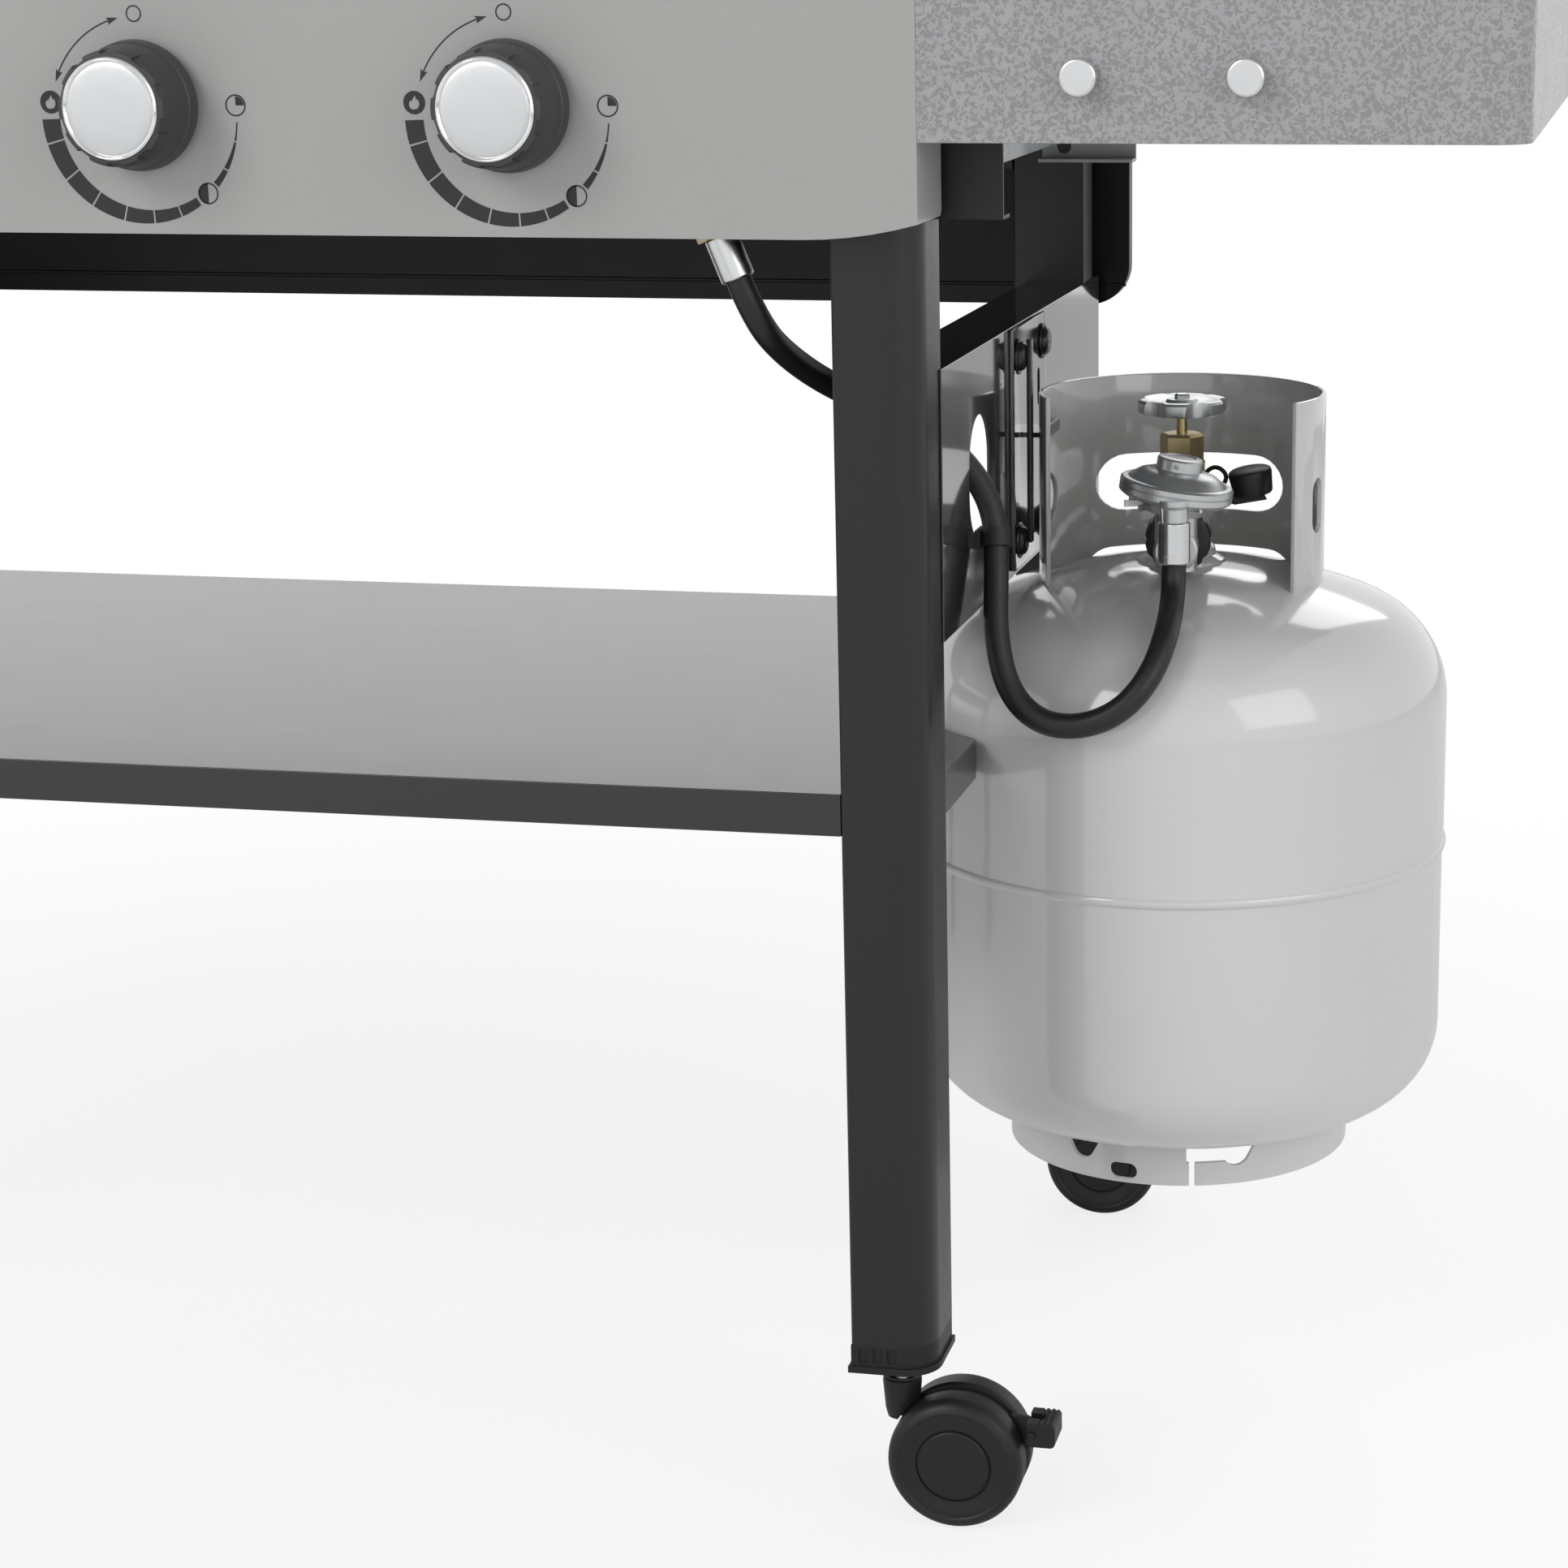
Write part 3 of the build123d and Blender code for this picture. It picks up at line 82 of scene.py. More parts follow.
class Value:
    """A shader socket that takes part in ordinary arithmetic."""

    def __init__(self, tree: "Tree", socket: bpy.types.NodeSocket) -> None:
        """Keep the socket and the tree it belongs to."""
        self.tree, self.socket = tree, socket

    def __add__(self, other: Number) -> "Value":
        """self + other."""
        return self.tree.maths("ADD", self, other)

    def __radd__(self, other: Number) -> "Value":
        """other + self."""
        return self.tree.maths("ADD", other, self)

    def __sub__(self, other: Number) -> "Value":
        """self - other."""
        return self.tree.maths("SUBTRACT", self, other)

    def __rsub__(self, other: Number) -> "Value":
        """other - self."""
        return self.tree.maths("SUBTRACT", other, self)

    def __mul__(self, other: Number) -> "Value":
        """self * other."""
        return self.tree.maths("MULTIPLY", self, other)

    def __rmul__(self, other: Number) -> "Value":
        """other * self."""
        return self.tree.maths("MULTIPLY", other, self)

    def clamp(self) -> "Value":
        """self held between 0 and 1."""
        return self.tree.node("ShaderNodeClamp", {}, {"Value": self})

    def smooth(self, low: float, high: float) -> "Value":
        """0 below low, 1 above high, and a smooth step between them."""
        return self.tree.node(
            "ShaderNodeMapRange",
            {"interpolation_type": "SMOOTHSTEP"},
            {"Value": self, "From Min": low, "From Max": high},
        )


class Tree:
    """The node tree of one material or world, built by calls."""

    def __init__(self, tree: bpy.types.NodeTree) -> None:
        """Start an empty tree."""
        self.tree = tree
        tree.nodes.clear()

    def node(
        self,
        kind: str,
        settings: dict[str, object],
        inputs: dict[Union[str, int], object],
        output: Union[str, int] = 0,
    ) -> Value:
        """Add one node.

        Args:
            kind: The node's type.
            settings: Its settings, which are set first.
            inputs: What goes into its sockets, numbers or links.
            output: The socket that is returned.

        Returns:
            The chosen output as a value.
        """
        made = self.tree.nodes.new(kind)
        for name, setting in settings.items():
            setattr(made, name, setting)
        for name, given in inputs.items():
            if isinstance(given, Value):
                self.tree.links.new(given.socket, made.inputs[name])
            else:
                made.inputs[name].default_value = given
        return Value(self, made.outputs[output]) if len(made.outputs) else Value(self, made.inputs[0])

    def maths(self, operation: str, *operands: Number) -> Value:
        """One Math node on the operands."""
        return self.node("ShaderNodeMath", {"operation": operation}, dict(enumerate(operands)))

    def mix(self, factor: Number, first: object, second: object) -> Value:
        """Blend two colours.

        Args:
            factor: 0 for the first colour, 1 for the second.
            first: A colour or a value.
            second: A colour or a value.

        Returns:
            The blended colour.
        """
        given = {0: factor}
        for place, colour in ((6, first), (7, second)):
            given[place] = colour if isinstance(colour, Value) else (*colour, 1.0)
        return self.node("ShaderNodeMix", {"data_type": "RGBA"}, given, 2)

    def place(self, scale: Point = (1.0, 1.0, 1.0)) -> Value:
        """Object coordinates, scaled."""
        coordinates = self.node("ShaderNodeTexCoord", {}, {}, "Object")
        return self.node("ShaderNodeMapping", {}, {"Vector": coordinates, "Scale": scale})

    def noise(self, scale: float, detail: float = 2.0, at: Optional[Value] = None,
              rough: float = 0.5) -> Value:
        """Cloudy noise.

        Args:
            scale: Features per metre.
            detail: Finer layers on top of the first.
            at: Where it is read; object coordinates where it is left out.
            rough: How strong the finer layers are.

        Returns:
            A value from 0 to 1.
        """
        where = at or self.place()
        given = {"Vector": where, "Scale": scale, "Detail": detail, "Roughness": rough}
        return self.node("ShaderNodeTexNoise", {}, given, 0)

    def cells(self, scale: float, feature: str = "F1", at: Optional[Value] = None,
              smooth: float = 0.0) -> Value:
        """Distance to scattered cells.

        Args:
            scale: Cells per metre.
            feature: Which distance it is.
            at: Where it is read; object coordinates where it is left out.
            smooth: How softly cells meet, for smooth cells.

        Returns:
            The distance, as a share of a cell.
        """
        given: dict[Union[str, int], object] = {"Vector": at or self.place(), "Scale": scale}
        if feature == "SMOOTH_F1":
            given["Smoothness"] = smooth
        return self.node("ShaderNodeTexVoronoi", {"feature": feature}, given, "Distance")

    def bump(self, height: Value, depth: float, strength: float = 1.0,
             under: Optional[Value] = None) -> Value:
        """A normal that follows a height.

        Args:
            height: The height, from 0 to 1.
            depth: How deep a height of 1 is, in metres.
            strength: How much of it shows.
            under: A bump that lies under this one.

        Returns:
            The normal.
        """
        given: dict[Union[str, int], object] = {"Height": height, "Distance": depth, "Strength": strength}
        if under is not None:
            given["Normal"] = under
        return self.node("ShaderNodeBump", {}, given, 0)


# ---- Finishes ----------------------------------------------------------------------------------


@dataclass(frozen=True)
class Finish:
    """A surface finish with a colour and a gloss that are never quite even."""

    name: str
    colour: Colour
    roughness: float
    metallic: float = 0.0
    coat: float = 0.0
    specular: float = 0.5
    cloud: float = 0.06
    cloud_scale: float = 9.0
    coat_roughness: float = 0.06

    def material(self) -> bpy.types.Material:
        """The finish's material, made once."""
        if self.name in bpy.data.materials:
            return bpy.data.materials[self.name]
        made = bpy.data.materials.new(self.name)
        made.use_nodes = True
        tree = Tree(made.node_tree)
        shader = made.node_tree.nodes.new("ShaderNodeBsdfPrincipled")
        out = made.node_tree.nodes.new("ShaderNodeOutputMaterial")
        made.node_tree.links.new(shader.outputs[0], out.inputs[0])
        shader.inputs["Metallic"].default_value = self.metallic
        shader.inputs["Specular IOR Level"].default_value = self.specular
        shader.inputs["Coat Weight"].default_value = self.coat
        shader.inputs["Coat Roughness"].default_value = self.coat_roughness
        for name, value in self.layers(tree).items():
            if isinstance(value, Value):
                made.node_tree.links.new(value.socket, shader.inputs[name])
            else:
                shader.inputs[name].default_value = value
        made.diffuse_color = (*self.colour, 1.0)
        return made

    def shade(self, amount: float) -> Colour:
        """The colour made lighter or darker by a factor."""
        return tuple(min(1.0, part * amount) for part in self.colour)

    def layers(self, tree: Tree) -> dict[str, object]:
        """What feeds the shader's sockets."""
        cloud = tree.noise(self.cloud_scale, 3.0)
        colour = tree.mix(cloud, self.shade(1 - self.cloud), self.shade(1 + self.cloud))
        fine = tree.noise(self.cloud_scale * 14, 2.0)
        return {"Base Color": colour, "Roughness": self.roughness + (fine - 0.5) * 0.08 + (cloud - 0.5) * 0.1}


@dataclass(frozen=True)
class PowderCoat(Finish):
    """Baked powder paint: a fine orange peel under a satin skin."""

    peel: float = 0.00006
    peel_scale: float = 900.0
    fleck: float = 0.0

    def layers(self, tree: Tree) -> dict[str, object]:
        """Add the orange peel and the flakes."""
        made = super().layers(tree)
        peel = tree.noise(self.peel_scale, 1.0)
        made["Normal"] = tree.bump(peel, self.peel, 0.5)
        if self.fleck:
            flakes = tree.cells(2600.0).smooth(0.15, 0.45)
            made["Base Color"] = tree.mix(flakes, self.shade(1 + self.fleck), made["Base Color"])
        return made


@dataclass(frozen=True)
class HammerPaint(Finish):
    """Hammered paint: shallow dimples with pale worm-shaped ridges between them."""

    dimple_scale: float = 430.0
    contrast: float = 0.24
    bend: float = 0.006
    dimple: float = 0.0006

    def layers(self, tree: Tree) -> dict[str, object]:
        """Dimples from smooth cells, broken by noise, with flakes gathered on the ridges."""
        made = super().layers(tree)
        given = {"Vector": tree.place(), "Scale": self.dimple_scale * 0.8, "Detail": 2.0}
        warp = tree.node("ShaderNodeTexNoise", {}, given, 1)
        bent = tree.node("ShaderNodeMix", {"data_type": "VECTOR"},
                         {0: self.bend, 4: tree.place(), 5: warp}, 1)
        cell = tree.cells(self.dimple_scale, "SMOOTH_F1", bent, 0.6)
        ridge = cell.smooth(0.32, 0.62)
        speckle = tree.noise(self.dimple_scale * 3.2, 2.0).smooth(0.52, 0.7)
        pale = (ridge * 0.75 + speckle * 0.35).clamp()
        made["Base Color"] = tree.mix(pale, made["Base Color"], self.shade(1 + self.contrast * 2.4))
        made["Roughness"] = self.roughness - ridge * 0.08 + (tree.noise(40.0) - 0.5) * 0.1
        made["Normal"] = tree.bump(cell, self.dimple, 0.55)
        return made


@dataclass(frozen=True)
class Enamel(Finish):
    """Gloss paint or enamel with long, faint waves in the sheet behind it."""

    wave: float = 0.0003

    def layers(self, tree: Tree) -> dict[str, object]:
        """Faint waves and a very fine peel."""
        made = super().layers(tree)
        waves = tree.bump(tree.noise(14.0, 1.0), self.wave, 0.5)
        made["Normal"] = tree.bump(tree.noise(700.0, 1.0), 0.00002, 0.5, waves)
        made["Roughness"] = self.roughness + (tree.noise(30.0, 3.0) - 0.5) * 0.06
        return made


class Grain(Enum):
    """Which way a brushed metal's grain runs."""

    ALONG_X = (6.0, 900.0, 900.0)
    NONE = (260.0, 260.0, 260.0)


@dataclass(frozen=True)
class Metal(Finish):
    """Bare or plated metal with a grain, finger marks and a little tarnish."""

    metallic: float = 1.0
    grain: Grain = Grain.NONE
    grain_depth: float = 0.00003
    tarnish: float = 0.15

    def layers(self, tree: Tree) -> dict[str, object]:
        """A stretched noise as the grain, over a cloudy tarnish."""
        made = super().layers(tree)
        grain = tree.noise(1.0, 3.0, tree.place(self.grain.value))
        marks = tree.noise(22.0, 4.0).smooth(0.42, 0.75)
        made["Base Color"] = tree.mix(marks * self.tarnish, made["Base Color"], self.shade(0.45))
        made["Roughness"] = self.roughness + (grain - 0.5) * 0.16 + marks * 0.1
        made["Normal"] = tree.bump(grain, self.grain_depth, 0.6)
        return made


@dataclass(frozen=True)
class Moulded(Finish):
    """Moulded plastic or rubber: a fine spark grain and scuffs that catch the light."""

    spark: float = 0.00005
    spark_scale: float = 1500.0
    scuff: float = 0.25

    def layers(self, tree: Tree) -> dict[str, object]:
        """The spark grain, with paler scuffs where things have rubbed."""
        made = super().layers(tree)
        scuffs = tree.noise(60.0, 5.0, rough=0.7).smooth(0.56, 0.72)
        made["Base Color"] = tree.mix(scuffs * self.scuff, made["Base Color"], self.shade(1.7))
        made["Roughness"] = self.roughness + scuffs * 0.12 + (tree.noise(300.0) - 0.5) * 0.08
        made["Normal"] = tree.bump(tree.noise(self.spark_scale, 2.0), self.spark, 0.5)
        return made


@dataclass(frozen=True)
class Cast(Finish):
    """Sand-cast metal: a coarse, pitted skin."""

    pit: float = 0.0004

    def layers(self, tree: Tree) -> dict[str, object]:
        """Pits over a coarse sand grain."""
        made = super().layers(tree)
        sand = tree.noise(520.0, 4.0, rough=0.65)
        pits = tree.cells(420.0).smooth(0.08, 0.3)
        made["Normal"] = tree.bump(sand, self.pit, 0.5, tree.bump(pits, 0.0002, 0.4))
        made["Base Color"] = tree.mix(sand.smooth(0.5, 0.7) * 0.35, made["Base Color"], self.shade(1.6))
        return made


LEG_COAT = PowderCoat("leg_coat", (0.007, 0.0072, 0.0076), 0.34)
PANEL_PAINT = PowderCoat("panel_paint", (0.345, 0.352, 0.342), 0.4, coat=0.15, fleck=0.12, cloud=0.03)
HAMMER_PAINT = HammerPaint("hammer_paint", (0.235, 0.238, 0.243), 0.36, coat=0.1)
BOX_PAINT = HammerPaint("box_paint", (0.22, 0.245, 0.27), 0.36, coat=0.3)
SHELF_ENAMEL = Enamel("shelf_enamel", (0.008, 0.0082, 0.0086), 0.2, coat=0.5)
EDGE_BLACK = PowderCoat("edge_black", (0.007, 0.007, 0.0074), 0.4)
BOLT_BLACK = Moulded("bolt_black", (0.014, 0.014, 0.015), 0.3)
GUARD_ENAMEL = Enamel("guard_enamel", (0.03, 0.0303, 0.031), 0.1, coat=1.0)
REAR_ENAMEL = Enamel("rear_enamel", (0.004, 0.004, 0.0044), 0.34, specular=0.3)
LID_ENAMEL = Enamel("lid_enamel", (0.018, 0.018, 0.019), 0.16, coat=0.8)
TANK_PAINT = Enamel("tank_paint", (0.61, 0.615, 0.61), 0.14, coat=0.6, cloud=0.02)
COLLAR_PAINT = Enamel("collar_paint", (0.54, 0.545, 0.535), 0.14, coat=0.8, cloud=0.03)
BRIGHT_STEEL = Metal("bright_steel", (0.72, 0.73, 0.74), 0.22, grain=Grain.ALONG_X)
STAINLESS = Metal("stainless", (0.55, 0.55, 0.56), 0.34, grain=Grain.ALONG_X)
CAP_METAL = Metal("cap_metal", (0.68, 0.69, 0.70), 0.34, tarnish=0.04)
BEZEL_CHROME = Metal("bezel_chrome", (0.86, 0.87, 0.88), 0.08, tarnish=0.03)
DIE_CAST = Metal("die_cast", (0.33, 0.335, 0.34), 0.52, tarnish=0.3)
BRASS = Metal("brass", (0.42, 0.33, 0.17), 0.34, tarnish=0.35)
IRON = Cast("iron", (0.035, 0.034, 0.034), 0.62)
KNOB_MOULD = Moulded("knob_mould", (0.04, 0.041, 0.043), 0.46)
NYLON = Moulded("nylon", (0.010, 0.010, 0.0105), 0.44, specular=0.35)
WHEEL_MOULD = Moulded("wheel_mould", (0.011, 0.0112, 0.0115), 0.42, scuff=0.35, specular=0.35)
RUBBER = Moulded("rubber", (0.012, 0.012, 0.0125), 0.42, scuff=0.2, specular=0.4)
INK = Moulded("ink", (0.012, 0.012, 0.012), 0.5, scuff=0.0)


# ---- Modelling verbs ---------------------------------------------------------------------------


def deselect() -> None:
    """Clear the selection in object mode."""
    if bpy.context.object and bpy.context.object.mode != "OBJECT":
        bpy.ops.object.mode_set(mode="OBJECT")
    bpy.ops.object.select_all(action="DESELECT")


def edit(obj: bpy.types.Object) -> None:
    """Open obj alone in edit mode.

    Args:
        obj: The piece.
    """
    deselect()
    bpy.context.view_layer.objects.active = obj
    obj.select_set(True)
    bpy.ops.object.mode_set(mode="EDIT")
    bpy.ops.mesh.select_mode(type="VERT")


def close() -> None:
    """Leave edit mode."""
    bpy.ops.object.mode_set(mode="OBJECT")


def pick_faces(chosen: Callable[[bmesh.types.BMFace], bool]) -> None:
    """Select only the faces of the open mesh that a test accepts.

    Args:
        chosen: The test that a face has to pass.
    """
    bpy.ops.mesh.select_all(action="DESELECT")
    mesh = bmesh.from_edit_mesh(bpy.context.object.data)
    for face in mesh.faces:
        if chosen(face):
            face.select_set(True)
    bmesh.update_edit_mesh(bpy.context.object.data)


def weld(flip: bool = True) -> None:
    """Merge doubles in the open mesh.

    Args:
        flip: Whether the faces are then turned outwards.
    """
    bpy.ops.mesh.select_all(action="SELECT")
    bpy.ops.mesh.remove_doubles(threshold=DOUBLES)
    if flip:
        bpy.ops.mesh.normals_make_consistent(inside=False)


def seat(obj: bpy.types.Object) -> bpy.types.Object:
    """Put a piece's place, turn and size into its mesh.

    Args:
        obj: The piece.

    Returns:
        The piece.
    """
    deselect()
    bpy.context.view_layer.objects.active = obj
    obj.select_set(True)
    bpy.ops.object.transform_apply(location=True, rotation=True, scale=True)
    return obj


def apply(obj: bpy.types.Object, kind: str, **settings: object) -> bpy.types.Object:
    """Add one modifier and apply it.

    Args:
        obj: The piece.
        kind: The modifier's type.
        settings: The modifier's settings.

    Returns:
        The piece.
    """
    bpy.context.view_layer.objects.active = obj
    made = obj.modifiers.new(kind.title(), kind)
    for name, value in settings.items():
        setattr(made, name, value)
    bpy.ops.object.modifier_apply(modifier=made.name)
    return obj


def smooth(obj: bpy.types.Object, angle: float = 35.0) -> bpy.types.Object:
    """Shade a piece smooth.

    Args:
        obj: The piece.
        angle: Edges sharper than this stay sharp, in degrees.

    Returns:
        The piece.
    """
    deselect()
    bpy.context.view_layer.objects.active = obj
    obj.select_set(True)
    bpy.ops.object.shade_smooth_by_angle(angle=math.radians(angle))
    return obj


def round_edges(obj: bpy.types.Object, width: float, segments: int = 2,
                angle: float = 40.0) -> bpy.types.Object:
    """Bevel a piece's sharp edges.

    Args:
        obj: The piece.
        width: The bevel's width in metres.
        segments: Facets across each bevel.
        angle: Edges sharper than this are bevelled, in degrees.

    Returns:
        The piece.
    """
    apply(obj, "BEVEL", width=width, segments=segments, limit_method="ANGLE", angle_limit=math.radians(angle),
          harden_normals=False, use_clamp_overlap=True)
    return smooth(obj)


def wire(name: str, points: Sequence[Point]) -> bpy.types.Object:
    """An open line of edges, drawn by extruding one vertex from point to point.

    Args:
        name: The piece's name.
        points: The line's points, in metres.

    Returns:
        The line, left open in edit mode.
    """
    deselect()
    bpy.ops.mesh.primitive_plane_add(size=0.01, location=(0, 0, 0))
    obj = bpy.context.object
    obj.name = obj.data.name = name
    edit(obj)
    bpy.ops.mesh.select_all(action="SELECT")
    bpy.ops.mesh.merge(type="CENTER")
    bpy.ops.transform.translate(value=points[0])
    for here, there in zip(points, points[1:]):
        step = Vector(there) - Vector(here)
        bpy.ops.mesh.extrude_region_move(TRANSFORM_OT_translate={"value": step})
    return obj


def spread(start: float, end: float, steps: int) -> list[float]:
    """Values at even steps from start to end, with both ends."""
    return [start + (end - start) * i / steps for i in range(steps + 1)]


def spokes(degrees: float) -> tuple[Vector, Vector]:
    """The outward and the sideways direction at an angle round the Z axis."""
    turn = math.radians(degrees)
    return Vector((math.cos(turn), math.sin(turn), 0)), Vector((-math.sin(turn), math.cos(turn), 0))


def cord(name: str, route: Sequence[Vector], radius: float, order: int, rings: int,
         steps: int) -> bpy.types.Object:
    """A round cord along a smooth curve.

    Args:
        name: The curve's name.
        route: Its control points.
        radius: The cord's radius in metres.
        order: The curve's order.
        rings: The bevel's resolution round the cord.
        steps: Segments between control points.

    Returns:
        The curve.
    """
    data = bpy.data.curves.new(name, "CURVE")
    data.dimensions, data.bevel_depth, data.bevel_resolution, data.resolution_u = "3D", radius, rings, steps
    line = data.splines.new("NURBS")
    line.points.add(len(route) - 1)
    for place, point in zip(line.points, route):
        place.co = (*point, 1.0)
    line.order_u, line.use_endpoint_u = order, True
    obj = bpy.data.objects.new(name, data)
    bpy.context.scene.collection.objects.link(obj)
    return obj


def turned(name: str, profile: Sequence[tuple[float, float]], foot: Point, axis: Point,
           steps: int = 48) -> bpy.types.Object:
    """A lathe form: a profile of (radius, height) spun round an axis.

    Args:
        name: The piece's name.
        profile: Radius and height along the axis, in millimetres.
        foot: Where height 0 lies, in metres.
        axis: The axis's direction.
        steps: Segments round it.

    Returns:
        The piece, with its faces outwards.
    """
    along, base = Vector(axis).normalized(), Vector(foot)
    side = Vector((1, 0, 0)) if abs(along.x) < 0.9 else Vector((0, 1, 0))
    side = (side - along * side.dot(along)).normalized()
    obj = wire(name, [base + (side * radius + along * height) * MM for radius, height in profile])
    bpy.ops.mesh.select_all(action="SELECT")
    bpy.ops.mesh.spin(steps=steps, angle=2 * math.pi, center=base, axis=along, use_auto_merge=True)
    weld()
    close()
    return smooth(obj)


def cut_out(name: str, outline: Sequence[Point], depth: Vector) -> bpy.types.Object:
    """A closed outline, filled and extruded.

    Args:
        name: The piece's name.
        outline: The outline's corners, in metres.
        depth: How far and which way it is extruded.

    Returns:
        The solid.
    """
    obj = wire(name, outline)
    bpy.ops.mesh.select_all(action="SELECT")
    bpy.ops.mesh.edge_face_add()
    bpy.ops.mesh.extrude_region_move(TRANSFORM_OT_translate={"value": depth})
    weld()
    close()
    return obj


def brick(name: str, low: Point, high: Point, bevel: float = 0.001, segments: int = 2) -> bpy.types.Object:
    """A block between two corners with its edges rounded.

    Args:
        name: The piece's name.
        low: Its lowest corner, in metres.
        high: Its highest corner.
        bevel: How far its edges are rounded.
        segments: Facets across each rounded edge.

    Returns:
        The block.
    """
    deselect()
    middle = [(a + b) / 2 for a, b in zip(low, high)]
    bpy.ops.mesh.primitive_cube_add(size=1.0, location=middle)
    obj = bpy.context.object
    obj.name = obj.data.name = name
    obj.scale = [b - a for a, b in zip(low, high)]
    return round_edges(seat(obj), bevel, segments)


def joined(name: str, parts: Sequence[bpy.types.Object]) -> bpy.types.Object:
    """Join several meshes into one piece.

    Args:
        name: The piece's name.
        parts: What is joined.

    Returns:
        The piece.
    """
    deselect()
    for part in parts:
        part.select_set(True)
    bpy.context.view_layer.objects.active = parts[0]
    bpy.ops.object.join()
    obj = bpy.context.object
    obj.name = obj.data.name = name
    return obj


def carved(obj: bpy.types.Object, cutter: bpy.types.Object) -> bpy.types.Object:
    """Cut one piece's shape out of another and remove the cutter.

    Args:
        obj: The piece.
        cutter: What is cut out of it.

    Returns:
        The piece.
    """
    apply(obj, "BOOLEAN", operation="DIFFERENCE", object=cutter, solver="EXACT")
    bpy.data.objects.remove(cutter)
    return obj


def clothed(obj: bpy.types.Object, finish: Finish, slot: str, body: str, *nodes: str) -> bpy.types.Object:
    """Give a piece its finish and its body, and hide the CAD nodes it stands for.

    Args:
        obj: The piece.
        finish: Its finish.
        slot: The record's material slot; not used.
        body: The CAD body it moves with.
        nodes: CAD nodes that it replaces.

    Returns:
        The piece.
    """
    obj.data.materials.clear()
    obj.data.materials.append(finish.material())
    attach(obj, body)
    if nodes:
        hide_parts(*nodes)
    LOG.info("%s: %s, %s", obj.name, finish.name, body)
    return obj


# ---- The frame ---------------------------------------------------------------------------------


@dataclass
class Frame:
    """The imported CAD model: its nodes, its bodies and its slots."""

    nodes: dict[str, bpy.types.Object]
    bodies: dict[str, list[str]]
    slots: dict[str, str]

    @classmethod
    def loaded(cls) -> "Frame":
        """Load the frame and read what its record says."""
        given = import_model()
        record = given["record"]
        slots = {part["node"]: part["material_slot"] for part in record["subparts"]}
        return cls(given["nodes"], record["behaviour"]["bodies"], slots)

    def body(self, node: str) -> str:
        """The body that a node moves with."""
        return next(body for body, members in self.bodies.items() if node in members)

    def low(self, node: str) -> Vector:
        """A node's lowest corner."""
        return Vector(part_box(node)[0])

    def high(self, node: str) -> Vector:
        """A node's highest corner."""
        return Vector(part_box(node)[1])

    def middle(self, node: str) -> Vector:
        """The middle of a node's box."""
        return (self.low(node) + self.high(node)) / 2

    def refined(self, node: str, finish: Finish, bevel: float = 0.0005,
                segments: int = 2) -> bpy.types.Object:
        """A welded copy of a node with its sharp edges eased, which replaces it.

        Args:
            node: The CAD node.
            finish: What it is dressed in.
            bevel: How far its edges are eased, in metres.
            segments: Facets across each eased edge.

        Returns:
            The copy.
        """
        source = self.nodes[node]
        copy = source.copy()
        copy.data = source.data.copy()
        for key in list(copy.keys()):
            if key.startswith("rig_"):
                del copy[key]
        copy.parent = None
        copy.name = copy.data.name = f"{node}_skin"
        bpy.context.scene.collection.objects.link(copy)
        edit(copy)
        weld(flip=False)
        bpy.ops.mesh.dissolve_limited(angle_limit=math.radians(0.4))
        close()
        if bevel:
            round_edges(copy, bevel, segments, 30.0)
            apply(copy, "WEIGHTED_NORMAL", keep_sharp=True)
        else:
            smooth(copy, 30.0)
        return clothed(copy, finish, self.slots[node], self.body(node), node)


# ---- Studio ------------------------------------------------------------------------------------


